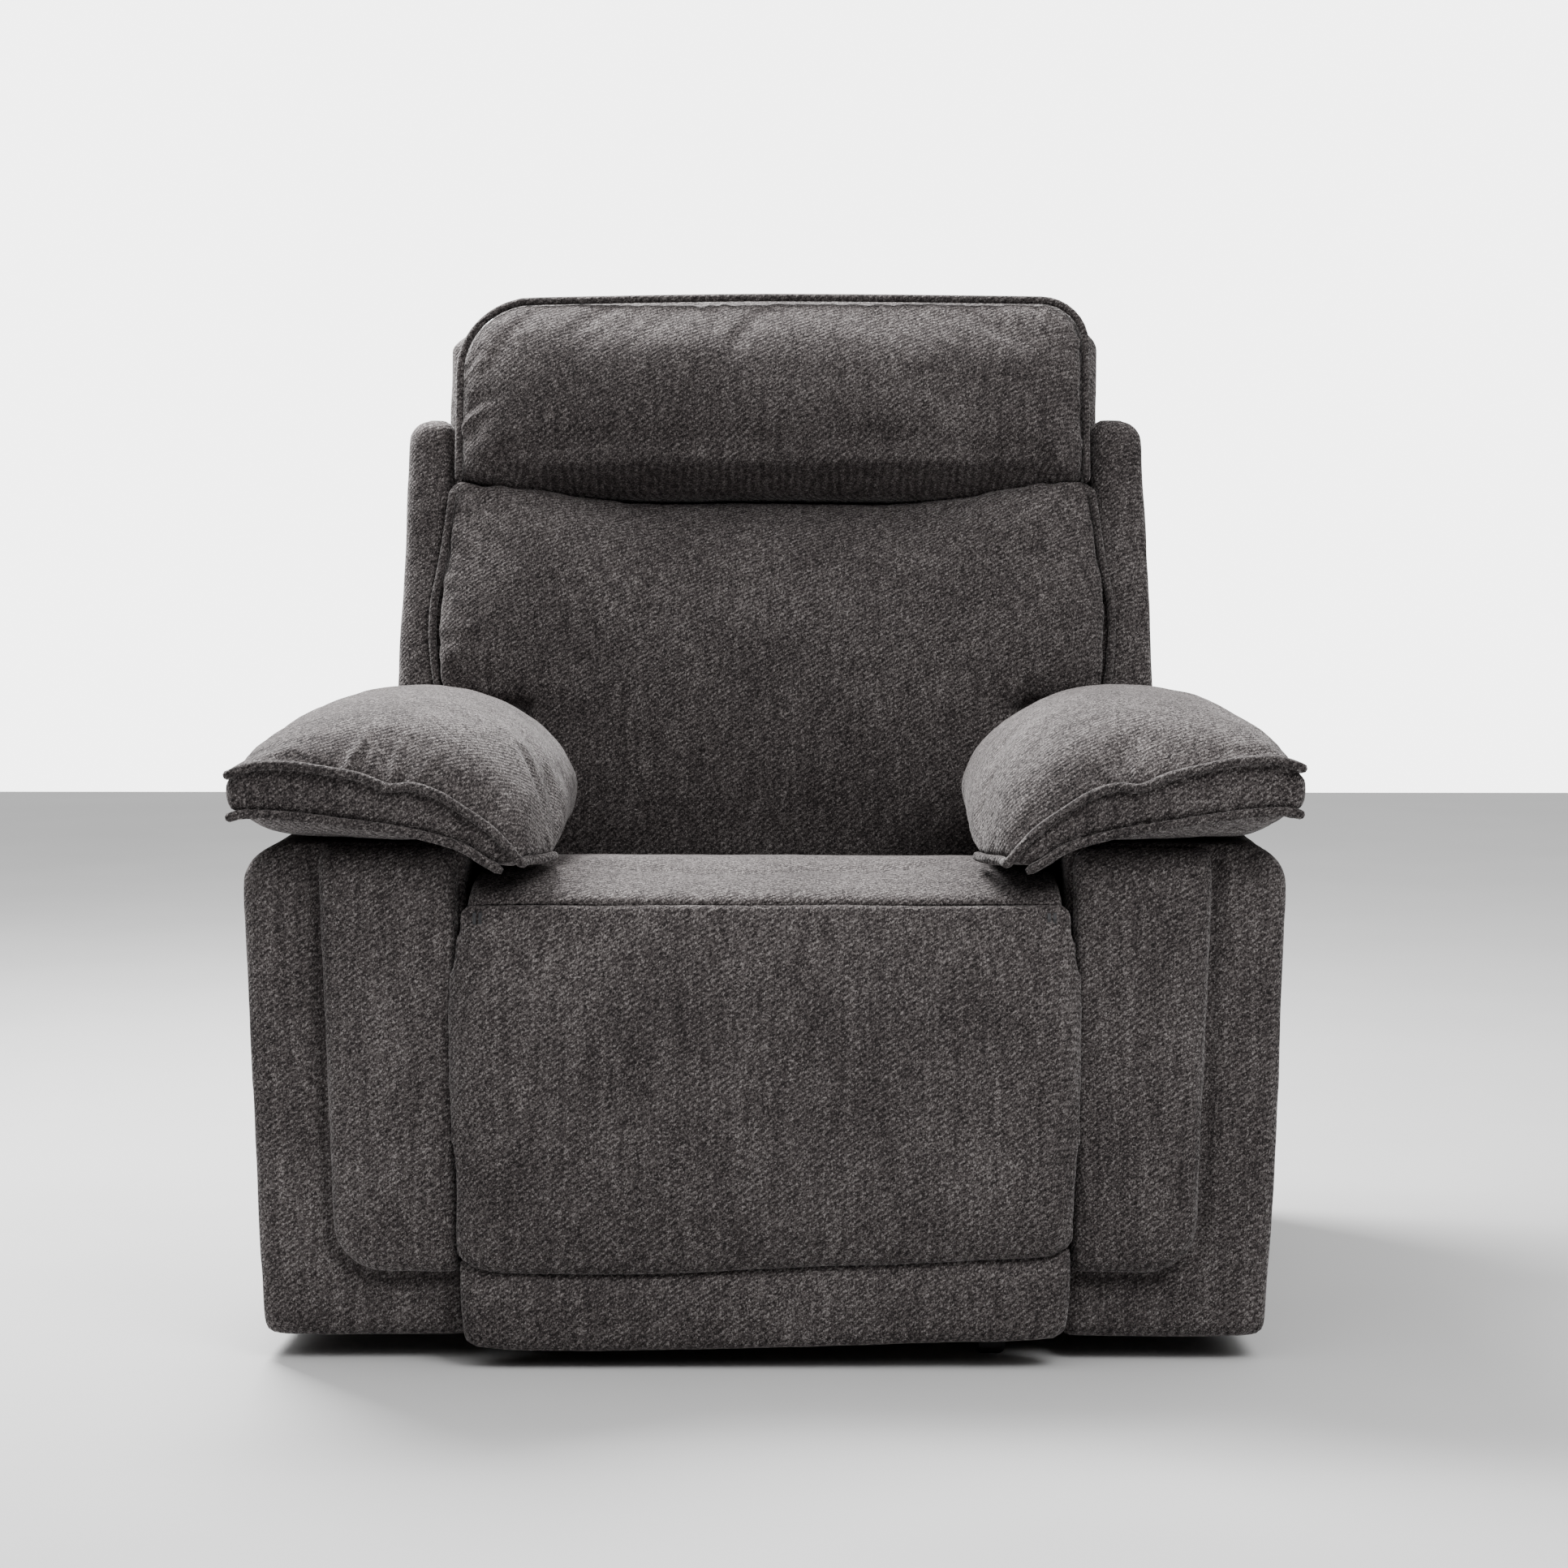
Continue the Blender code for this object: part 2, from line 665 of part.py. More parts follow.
def footrest(parent):
    back = FOOT_BACK_Y
    board = box_mesh(
        (-FOOT_BOARD_HALF, back + GAP - HINGE_Y, 0.045 - HINGE_Z),
        (FOOT_BOARD_HALF, back + GAP + FOOT_BOARD - HINGE_Y, 0.414 - HINGE_Z),
    )
    soften(add_piece("footrest_board", board, "wood", parent), 0.0015, 1)
    main = (
        (back, FOOT_REAR_HALF, 0.002),
        (back - 0.011, FOOT_REAR_HALF, 0.0),
        (back - 0.015, FOOT_HALF - 0.006, 0.0),
        (back - 0.027, FOOT_HALF, 0.0015),
        (back - 0.036, FOOT_HALF - 0.012, 0.010),
        (FRONT_Y + 0.003, FOOT_HALF - 0.032, 0.030),
    )
    pad = loft_mesh(panel_rings(FLAP_Z, FOOT_TOP, main, 0.012))
    add_piece("footrest_pad", pad, "fabric", parent, smooth=True)
    lower = (
        (back, FOOT_REAR_HALF, 0.0),
        (back - 0.011, FOOT_REAR_HALF, 0.0),
        (back - 0.015, FOOT_HALF - 0.010, 0.0),
        (back - 0.027, FOOT_HALF - 0.006, 0.0),
        (FRONT_Y + 0.008, FOOT_HALF - 0.020, 0.008),
    )
    kick = loft_mesh(panel_rings(KICK_BOTTOM, FLAP_Z - 0.002, lower, 0.014))
    add_piece("footrest_lower_pad", kick, "fabric", parent, smooth=True)


# ---------------------------------------------------------------- back, in its tilted frame
def back_frame(parent):
    for name, side in SIDES:
        post = side_box(
            "back_post_" + name,
            side,
            (POST_IN, POST_OUT),
            (POST_FRONT, POST_BACK),
            (-0.030, FRAME_TOP - 0.045 - GAP),
            "wood",
            parent,
        )
        soften(post, 0.002, 1)
        back_bracket(name, side, parent)
        back_wing(name, side, parent)
    inner = POST_IN - GAP
    outer = CUSHION_HALF - GAP
    top = box_mesh((-outer, POST_FRONT, FRAME_TOP - 0.045), (outer, POST_BACK, FRAME_TOP - GAP))
    soften(add_piece("back_top_rail", top, "wood", parent), 0.002, 1)
    middle = box_mesh((-outer, POST_BACK + GAP, 0.380), (outer, POST_BACK + 0.025, 0.430))
    soften(add_piece("back_mid_rail", middle, "wood", parent), 0.002, 1)
    bottom = box_mesh((-inner, POST_FRONT, 0.075), (inner, POST_BACK, 0.115))
    soften(add_piece("back_bottom_rail", bottom, "wood", parent), 0.002, 1)


def back_bracket(name, side, parent):
    """A steel plate on the post's outer face, whose stud turns in the mechanism's plate."""
    corners = [(-0.016, -0.020), (0.020, -0.026), (0.040, 0.060), (0.034, 0.120), (0.004, 0.120)]
    outline = fillet(corners, 0.010, 3)
    low, high = span(side, POST_OUT + GAP, POST_OUT + GAP + PLATE)
    plate = add_piece("back_bracket_" + name, prism_x(outline, low, high), "steel", parent)
    stud(plate, side, (0.0, 0.0), 0.006, POST_OUT + GAP + 0.001, ARM_IN - 0.0006)


def back_wing(name, side, parent):
    """The padded side of the back; its foot is cut to an arc that clears the arm as it reclines."""
    turns = [math.asin(WING_BACK / ARM_CLEARANCE) * step / 3 for step in range(4)]
    arc = [(ARM_CLEARANCE * math.sin(a), ARM_CLEARANCE * math.cos(a)) for a in turns]
    outline = [(WING_FRONT, 0.162), (-0.050, 0.208)] + arc + [(WING_BACK, WING_TOP), (WING_FRONT, WING_TOP)]
    low, high = span(side, CUSHION_HALF + GAP, WING_HALF)
    wing = add_piece("back_wing_" + name, prism_x(outline, low, high), "fabric", parent, smooth=True)
    soften(wing, 0.020, 3)


def back_webbing(parent):
    """Crossed elastic straps across the open frame, as one lattice."""
    strap = 0.050
    thickness = 0.004
    columns = [-0.140, 0.0, 0.140]
    rows = [0.190, 0.320, 0.450, 0.570]
    half = 0.250
    low, high = 0.080, 0.640
    xs = sorted({-half, half} | {c + d * strap / 2 for c in columns for d in (-1, 1)})
    ws = sorted({low, high} | {r + d * strap / 2 for r in rows for d in (-1, 1)})
    bm = bmesh.new()
    grid = {(i, j): bm.verts.new((x, 0.0, w)) for i, x in enumerate(xs) for j, w in enumerate(ws)}
    for i in range(len(xs) - 1):
        for j in range(len(ws) - 1):
            x = (xs[i] + xs[i + 1]) / 2
            w = (ws[j] + ws[j + 1]) / 2
            in_column = any(abs(x - c) < strap / 2 for c in columns)
            in_row = any(abs(w - r) < strap / 2 for r in rows)
            if in_column or in_row:
                bm.faces.new([grid[i, j], grid[i + 1, j], grid[i + 1, j + 1], grid[i, j + 1]])
    bmesh.ops.delete(bm, geom=[v for v in bm.verts if not v.link_faces], context="VERTS")
    faces = bmesh.ops.extrude_face_region(bm, geom=list(bm.faces))["geom"]
    front = [item for item in faces if isinstance(item, bmesh.types.BMVert)]
    bmesh.ops.translate(bm, vec=(0.0, -thickness, 0.0), verts=front)
    bmesh.ops.translate(bm, vec=(0.0, POST_FRONT - GAP, 0.0), verts=bm.verts)
    add_piece("back_webbing", bm, "lining", parent)


def back_cushion(parent):
    """The lower back cushion: full width above the arms and narrower between them."""
    wide, narrow = CUSHION_HALF, NARROW_HALF
    outline = [
        (-narrow, 0.060),
        (narrow, 0.060),
        (narrow, NARROW_TOP),
        (wide, NARROW_TOP),
        (wide, PLEAT_W - 0.001),
        (-wide, PLEAT_W - 0.001),
        (-wide, NARROW_TOP),
        (-narrow, NARROW_TOP),
    ]
    shape = prism_y(outline, CUSHION_FRONT, CUSHION_BACK)
    cushion = add_piece("back_cushion", shape, "fabric", parent, smooth=True)
    soften(cushion, 0.012, 2)


def head_cushion(parent):
    """The head roll: a deep front pad that wraps over the top of the frame."""
    outline = fillet(
        [
            (CUSHION_BACK, PLEAT_W),
            (CUSHION_BACK, FRAME_TOP),
            (WING_BACK, FRAME_TOP),
            (WING_BACK, HEAD_TOP - 0.020),
            (-0.040, HEAD_TOP),
            (-0.140, HEAD_TOP - 0.022),
            (HEAD_FRONT, 0.650),
            (HEAD_FRONT, 0.540),
            (-0.150, PLEAT_W),
        ],
        [0.0, 0.0, 0.0, 0.025, 0.03, 0.03, 0.03, 0.03, 0.02],
        2,
    )
    wide = CUSHION_HALF
    pad = add_piece("head_cushion", prism_x(outline, -wide, wide), "fabric", parent, smooth=True)
    soften(pad, 0.008, 1)


def back_rear_panel(parent):
    """The padded outside back: wide behind the wings, narrower at the head and between the arms."""
    narrow = 0.278
    outline = [
        (-narrow, PANEL_BOTTOM),
        (narrow, PANEL_BOTTOM),
        (narrow, PANEL_NARROW_TOP),
        (WING_HALF, PANEL_NARROW_TOP),
        (WING_HALF, WING_TOP),
        (CUSHION_HALF, WING_TOP),
        (CUSHION_HALF, PANEL_TOP),
        (-CUSHION_HALF, PANEL_TOP),
        (-CUSHION_HALF, WING_TOP),
        (-WING_HALF, WING_TOP),
        (-WING_HALF, PANEL_NARROW_TOP),
        (-narrow, PANEL_NARROW_TOP),
    ]
    panel = add_piece("back_rear_panel", prism_y(outline, WING_BACK + GAP, PANEL_BACK), "fabric", parent)
    soften(panel, 0.012, 2)


def build():
    clear_scene()
    for name, side in SIDES:
        arm_frame(name, side)
        arm_casing(name, side)
        arm_front_pad(name, side)
        arm_top_pad(name, side)
        mech_plate(name, side)
        hinge_leaf(name, side)
    base()
    seat_frame()
    seat_springs()
    seat_cushion()
    handle_escutcheon()

    hinge_axis = make_empty("footrest_axis", (0.0, HINGE_Y, HINGE_Z))
    lift_axis = make_empty("lift_axis", (0.0, LIFT_Y, LIFT_Z))
    link_axis = make_empty("push_link_axis", (0.0, LIFT_Y + CRANK_Y, LIFT_Z + CRANK_Z))
    back_axis = make_empty("back_axis", (0.0, BACK_Y, BACK_Z), -BACK_TILT)
    footrest(hinge_axis)
    drive(lift_axis)
    for name, side in SIDES:
        footrest_bracket(name, side, hinge_axis)
        lift_crank(name, side, lift_axis)
        push_link(name, side, link_axis)
    back_frame(back_axis)
    back_webbing(back_axis)
    back_cushion(back_axis)
    head_cushion(back_axis)
    back_rear_panel(back_axis)


build()
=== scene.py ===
"""The looks of the recliner armchair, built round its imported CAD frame.

Metres, +Z up, the sitter faces -Y. "left" is the -X side, as seen from the front.
The cushions, the arm pillows and the footrest start as plain closed solids and are remeshed. They swell by
cloth simulation with their seams held, and then get their seam grooves and puckers. The other covers are
remeshed and shaped only. Back pieces are laid out in the back's own tilted frame: x across, v rearwards,
w up along the back, from the recline pivot.
"""

import json
import math

import bmesh
import bpy
import numpy as np
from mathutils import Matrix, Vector, kdtree, noise


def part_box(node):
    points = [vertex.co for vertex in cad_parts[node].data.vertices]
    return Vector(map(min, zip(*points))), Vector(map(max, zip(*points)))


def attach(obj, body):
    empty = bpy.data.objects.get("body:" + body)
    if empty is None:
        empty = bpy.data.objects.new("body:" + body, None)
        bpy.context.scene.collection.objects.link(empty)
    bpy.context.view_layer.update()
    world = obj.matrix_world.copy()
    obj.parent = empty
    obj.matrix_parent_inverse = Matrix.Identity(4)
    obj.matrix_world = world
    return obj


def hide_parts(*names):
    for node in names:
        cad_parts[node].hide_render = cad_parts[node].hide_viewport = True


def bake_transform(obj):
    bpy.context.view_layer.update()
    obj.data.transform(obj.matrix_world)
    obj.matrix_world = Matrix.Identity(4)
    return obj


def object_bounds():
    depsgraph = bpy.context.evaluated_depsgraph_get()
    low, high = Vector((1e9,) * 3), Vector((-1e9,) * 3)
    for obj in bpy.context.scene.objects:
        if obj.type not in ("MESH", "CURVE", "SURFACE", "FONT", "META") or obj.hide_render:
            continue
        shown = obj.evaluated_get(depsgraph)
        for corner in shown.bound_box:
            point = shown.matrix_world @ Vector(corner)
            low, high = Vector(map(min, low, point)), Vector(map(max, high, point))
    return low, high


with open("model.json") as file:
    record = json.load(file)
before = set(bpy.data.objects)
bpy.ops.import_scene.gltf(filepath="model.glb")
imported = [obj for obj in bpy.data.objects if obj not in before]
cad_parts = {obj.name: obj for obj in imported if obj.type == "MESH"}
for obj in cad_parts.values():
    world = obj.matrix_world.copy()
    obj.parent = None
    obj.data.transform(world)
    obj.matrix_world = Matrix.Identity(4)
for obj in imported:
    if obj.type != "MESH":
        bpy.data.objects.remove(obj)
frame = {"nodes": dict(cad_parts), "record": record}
cad_low, cad_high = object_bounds()
record = frame["record"]
JOINTS = {joint["name"]: joint for joint in record["behaviour"]["joints"]}

# ---------------- sizes
SIDES = (("left", -1), ("right", 1))
TILT = math.radians(13.5)
PIVOT = Vector(JOINTS["back_recline"]["pos_m"])
VOXEL = 0.006
WELT = 0.0047
SEAM_STEP = 0.004
FAR = 9.0
SWELL_FRAMES = 20
SWELL_PRESSURE = 4.0


# ---------------- mesh helpers
def unit(value):
    """The value, or each of the values, kept between 0 and 1."""
    return np.clip(value, 0, 1)


def bell(distance, width):
    """1 at no distance, and soon nothing beyond width."""
    return np.exp(-((distance / width) ** 2))


def read_off(table, place):
    """The second column of the table at this place in its first."""
    places, values = zip(*table)
    return float(np.interp(place, places, values))


def mesh_object(name, verts, faces):
    mesh = bpy.data.meshes.new(name)
    mesh.from_pydata([tuple(v) for v in verts], [], [tuple(f) for f in faces])
    bm = bmesh.new()
    bm.from_mesh(mesh)
    bmesh.ops.recalc_face_normals(bm, faces=bm.faces)
    bm.to_mesh(mesh)
    bm.free()
    obj = bpy.data.objects.new(name, mesh)
    bpy.context.scene.collection.objects.link(obj)
    return obj


def loft(rings):
    """Vertices and faces of a skin over equal rings, with flat caps."""
    count = len(rings[0])
    verts = [point for ring in rings for point in ring]
    last = len(verts) - count
    faces = []
    for a in range(0, last, count):
        b = a + count
        for i in range(count):
            j = (i + 1) % count
            faces.append((a + i, a + j, b + j, b + i))
    faces.append(tuple(range(count))[::-1])
    faces.append(tuple(range(last, last + count)))
    return verts, faces


def fillet(points, radii, segments=6):
    """A closed outline whose corners are arcs; radii holds one radius for each point."""
    outline = []
    for i, point in enumerate(points):
        corner = Vector(point)
        if radii[i] <= 0:
            outline.append(tuple(corner))
            continue
        before = (Vector(points[i - 1]) - corner).normalized()
        after = (Vector(points[(i + 1) % len(points)]) - corner).normalized()
        half = before.angle(after) / 2
        centre = corner + (before + after).normalized() * (radii[i] / math.sin(half))
        start = corner + before * (radii[i] / math.tan(half)) - centre
        end = corner + after * (radii[i] / math.tan(half)) - centre
        for step in range(segments + 1):
            outline.append(tuple(centre + start.slerp(end, step / segments) * radii[i]))
    return outline


def resample(points, count, last=False):
    """count points at even steps along a polyline; the end itself only if last is set."""
    line = np.array(points, float)
    steps = np.linalg.norm(np.diff(line, axis=0), axis=1)
    reach = np.concatenate([[0.0], np.cumsum(steps)])
    wanted = np.linspace(0.0, reach[-1], count, endpoint=last)
    return np.stack([np.interp(wanted, reach, line[:, k]) for k in range(line.shape[1])], axis=1)


def curve_through(points, step=0.006):
    """A smooth path (Catmull-Rom) through the points, with a point about every step."""
    line = [Vector(p) for p in points]
    line = [line[0] * 2 - line[1]] + line + [line[-1] * 2 - line[-2]]
    path = []
    for i in range(1, len(line) - 2):
        a, b, c, d = line[i - 1 : i + 3]
        bend, twist = 2 * a - 5 * b + 4 * c - d, 3 * b - a - 3 * c + d
        pieces = max(1, int((c - b).length / step))
        for k in range(pieces):
            t = k / pieces
            path.append(0.5 * (2 * b + (c - a) * t + bend * t * t + twist * t**3))
    path.append(line[-2])
    return path


def coords(obj):
    found = np.empty(len(obj.data.vertices) * 3)
    obj.data.vertices.foreach_get("co", found)
    return found.reshape(-1, 3)


def set_coords(obj, points):
    obj.data.vertices.foreach_set("co", np.asarray(points, float).ravel())
    obj.data.update()


def normals(obj):
    found = np.empty(len(obj.data.vertices) * 3)
    obj.data.vertex_normals.foreach_get("vector", found)
    return found.reshape(-1, 3)


def relax(obj, rounds, factor=0.5):
    """Evens the surface out: each point moves towards the mean of its neighbours."""
    mesh = obj.data
    ends = np.empty(len(mesh.edges) * 2, int)
    mesh.edges.foreach_get("vertices", ends)
    a, b = ends.reshape(-1, 2).T
    points = coords(obj)
    degree = np.bincount(np.concatenate([a, b]), minlength=len(points))[:, None]
    for _ in range(rounds):
        total = np.zeros_like(points)
        np.add.at(total, a, points[b])
        np.add.at(total, b, points[a])
        points += factor * (total / degree - points)
    set_coords(obj, points)


def bake(obj):
    """Applies the object's modifiers."""
    depsgraph = bpy.context.evaluated_depsgraph_get()
    mesh = bpy.data.meshes.new_from_object(obj.evaluated_get(depsgraph))
    obj.modifiers.clear()
    obj.data = mesh
    return obj


def remesh(obj, voxel=VOXEL):
    modifier = obj.modifiers.new("voxels", "REMESH")
    modifier.mode = "VOXEL"
    modifier.voxel_size = voxel
    return bake(obj)


def back_point(x, v, w):
    """A point of the back's own frame, in the row frame."""
    y = PIVOT.y + w * math.sin(TILT) + v * math.cos(TILT)
    return Vector((x, y, PIVOT.z + w * math.cos(TILT) - v * math.sin(TILT)))


def across_and_up(points):
    """v and w of points given in the row frame."""
    y, z = points[:, 1] - PIVOT.y, points[:, 2] - PIVOT.z
    return y * math.cos(TILT) - z * math.sin(TILT), y * math.sin(TILT) + z * math.cos(TILT)


def lean(points):
    return [back_point(*point) for point in points]


def rounded_ends(low, high, radius, steps=5):
    """Stations from low to high whose first and last few are inset along a quarter circle."""
    turns = [math.pi / 2 * k / steps for k in range(steps + 1)]
    first = [(low + radius * (1 - math.cos(t)), radius * (1 - math.sin(t))) for t in turns]
    return first + [(high + low - depth, inset) for depth, inset in reversed(first)]


def inset_outline(outline, inset):
    """The outline drawn in by about inset on every side, by scaling its box."""
    points = np.array(outline)
    middle = (points.min(0) + points.max(0)) / 2
    half = (points.max(0) - points.min(0)) / 2
    return middle + (points - middle) * (1 - inset / half)


def upright(x, y, z):
    return x, y, z


def block(outline, stations, place=upright):
    """A rounded block: the outline at each (depth, inset) station, drawn in by inset and set down by place."""
    return loft([[place(a, depth, b) for a, b in inset_outline(outline, inset)] for depth, inset in stations])


# ---------------- soft pieces
soft_pieces = []


def near(points, line, reach):
    """For each point: the distance to the line's nearest sample, FAR if out of reach, and its number."""
    tree = kdtree.KDTree(len(line))
    for i, p in enumerate(line):
        tree.insert(p, i)
    tree.balance()
    place, distance = np.array([tree.find(p)[1:] for p in points]).T
    found = distance < reach
    return np.where(found, distance, FAR), np.where(found, place, 0.0)


def start_soft(name, shape, seams, hold, swell, grow, rounds=4, even=2, fine=False):
    """Makes the plain solid ready to swell. The seams, and what hold(x, y, z) says, stay where they are.

    swell is how far a point may move, and grow how much larger the cloth is cut. rounds and even say how
    often the surface is evened out before and after. Fine pieces are subdivided once for their folds.
    """
    obj = remesh(mesh_object(name, *shape))
    relax(obj, rounds)
    points = coords(obj)
    pinned = np.array([hold(*p) for p in points])
    for seam in seams:
        distance, _ = near(points, curve_through(seam, SEAM_STEP), 0.03)
        pinned = np.maximum(pinned, unit(1.6 - distance / 0.007))
    group = obj.vertex_groups.new(name="held")
    for level in range(1, 11):
        members = np.nonzero(np.round(pinned * 10) == level)[0]
        if len(members):
            group.add([int(i) for i in members], level / 10, "REPLACE")
    soft_pieces.append(dict(obj=obj, swell=swell, grow=grow, rest=points, held=pinned, even=even, fine=fine))
    return obj


def add_cloth(piece):
    modifier = piece["obj"].modifiers.new("cloth", "CLOTH")
    settings = modifier.settings
    settings.quality = 4
    settings.mass = 0.3
    settings.use_pressure = True
    settings.uniform_pressure_force = SWELL_PRESSURE
    settings.effector_weights.gravity = 0.0
    settings.vertex_group_mass = "held"
    settings.shrink_min = -piece["grow"]
    settings.tension_stiffness = 15
    settings.compression_stiffness = 12
    settings.bending_stiffness = 0.6
    modifier.collision_settings.use_collision = False


def subdivide(obj):
    modifier = obj.modifiers.new("finer", "SUBSURF")
    modifier.levels = 1
    modifier.render_levels = 1
    return bake(obj)


def swell_all():
    """Runs one cloth simulation for all soft pieces, then limits how far each point has moved."""
    scene = bpy.context.scene
    for piece in soft_pieces:
        add_cloth(piece)
    for number in range(1, SWELL_FRAMES + 1):
        scene.frame_set(number)
    for piece in soft_pieces:
        obj, rest = piece["obj"], piece["rest"]
        bake(obj)
        moved = coords(obj) - rest
        length = np.linalg.norm(moved, axis=1, keepdims=True)
        limit = piece["swell"]
        moved *= np.where(length > 1e-9, limit * np.tanh(length / limit) / np.maximum(length, 1e-9), 0)
        set_coords(obj, rest + moved)
        relax(obj, piece["even"], 0.4)
        if piece["fine"]:
            subdivide(obj)
    scene.frame_set(1)


def sew(obj, seams, depth, width, pucker, reach, seed):
    """Draws the surface in along its seams, with puckers that fade away from them."""
    points, outward = coords(obj), normals(obj)
    for number, seam in enumerate(seams):
        distance, place = near(points, curve_through(seam, SEAM_STEP), 0.06)
        groove = depth * bell(distance, width)
        fold = np.array([noise.noise(Vector((s * 0.28, seed + number * 7.3, 0.0))) for s in place])
        fade = np.exp(-distance / reach) * (1 - bell(distance, 0.004))
        points -= outward * (groove - pucker * fold * fade)[:, None]
    set_coords(obj, points)


def pull(obj, start, end, height, width, side=1):
    """A gathered fold that runs from start, where it is highest, to end, with a hollow on one side of it."""
    points, outward = coords(obj), normals(obj)
    start, end = np.array(start), np.array(end)
    run = end - start
    length = np.linalg.norm(run)
    run = run / length
    offset = points - start
    place = offset @ run
    across = np.cross(outward, run)
    sideways = np.einsum("ij,ij->i", offset, across) * side
    away = np.linalg.norm(offset - place[:, None] * run, axis=1)
    along = unit(place / length)
    fade = np.where(place > -width, (1 - along) ** 0.8, 0) * bell(away, 4 * width)
    fold = bell(sideways, width) - 0.8 * bell(sideways - 1.7 * width, width)
    set_coords(obj, points + outward * (height * fade * fold)[:, None])


def ripple(obj, amount, size, fine, fine_size, seed):
    """An uneven softness over the whole surface: slow waves of one amount and size, and finer ones."""
    points, outward = coords(obj), normals(obj)
    shift = Vector((seed, seed * 0.37, seed * 0.71))
    lift = []
    for p in points:
        here = Vector(p)
        lift.append(amount * noise.noise(here / size + shift) + fine * noise.noise(here / fine_size - shift))
    set_coords(obj, points + outward * np.array(lift)[:, None])


def finish_piece(obj, body, material, node=None):
    """Gives the piece its material and body and, where it stands in for a soft CAD node, hides that node."""
    obj.data.materials.clear()
    obj.data.materials.append(material)
    obj.data.shade_smooth()
    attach(obj, body)
    if node:
        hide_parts(node)


def welt(name, points, body, material, radius=WELT):
    """A fabric-covered cord sewn along a seam: a round tube, drawn in and closed at both ends."""
    sides = 8
    turns = [2 * math.pi * k / sides for k in range(sides)]
    path = curve_through(points, 0.005)
    up = Vector((0.13, 0.31, 0.94)).normalized()
    rings = []
    for i, p in enumerate(path):
        ahead = (path[min(i + 1, len(path) - 1)] - path[max(i - 1, 0)]).normalized()
        side = ahead.cross(up)
        if side.length < 0.05:
            side = ahead.cross(Vector((1, 0, 0)))
        side.normalize()
        up = side.cross(ahead).normalized()
        size = radius * (0.55 if i in (0, len(path) - 1) else 1.0)
        rings.append([p + side * size * math.cos(turn) + up * size * math.sin(turn) for turn in turns])
    finish_piece(mesh_object(name, *loft(rings)), body, material)


# ---------------- materials
class Nodes:
    """A small helper that builds one material's node tree."""

    def __init__(self, name):
        self.material = bpy.data.materials.new(name)
        self.material.use_nodes = True
        self.tree = self.material.node_tree
        self.shader = self.tree.nodes["Principled BSDF"]
        self.place = self.add("ShaderNodeTexCoord").outputs["Object"]

    def add(self, kind, **inputs):
        node = self.tree.nodes.new(kind)
        for key, value in inputs.items():
            node.inputs[key.replace("_", " ")].default_value = value
        return node

    def link(self, source, target):
        self.tree.links.new(source, target)

    def stretched(self, scale, along=(0.0, 0.0, 1.0)):
        """The object's coordinates, stretched by scale; its third factor lies in the given direction."""
        mapping = self.add("ShaderNodeMapping")
        mapping.vector_type = "TEXTURE"
        mapping.inputs["Scale"].default_value = scale
        mapping.inputs["Rotation"].default_value = Vector(along).to_track_quat("Z", "Y").to_euler()
        self.link(self.place, mapping.inputs["Vector"])
        return mapping.outputs["Vector"]

    def noise(self, scale, detail=2.0, vector=None):
        node = self.add("ShaderNodeTexNoise", Scale=scale, Detail=detail)
        self.link(vector or self.place, node.inputs["Vector"])
        return node.outputs["Fac"]

    def cells(self, scale, vector, output="Color"):
        node = self.add("ShaderNodeTexVoronoi", Scale=scale)
        self.link(vector, node.inputs["Vector"])
        return node.outputs[output]

    def math(self, operation, a, b):
        node = self.add("ShaderNodeMath")
        node.operation = operation
        for socket, value in zip(node.inputs, (a, b)):
            if isinstance(value, (int, float)):
                socket.default_value = value
            else:
                self.link(value, socket)
        return node.outputs[0]

    def times(self, value, factor):
        return self.math("MULTIPLY", value, factor)

    def channel(self, color, index):
        node = self.add("ShaderNodeSeparateColor")
        self.link(color, node.inputs["Color"])
        return node.outputs[index]

    def paint(self, value, stops):
        """Makes the base colour a ramp over value."""
        node = self.add("ShaderNodeValToRGB")
        elements = node.color_ramp.elements
        while len(elements) < len(stops):
            elements.new(0.5)
        for element, (position, color) in zip(elements, stops):
            element.position = position
            element.color = (*color, 1.0)
        self.link(value, node.inputs["Fac"])
        self.link(node.outputs["Color"], self.shader.inputs["Base Color"])

    def bump(self, height, strength, distance):
        node = self.add("ShaderNodeBump", Strength=strength, Distance=distance)
        self.link(height, node.inputs["Height"])
        self.link(node.outputs["Normal"], self.shader.inputs["Normal"])

    def set(self, **values):
        for key, value in values.items():
            self.shader.inputs[key.replace("_", " ")].default_value = value


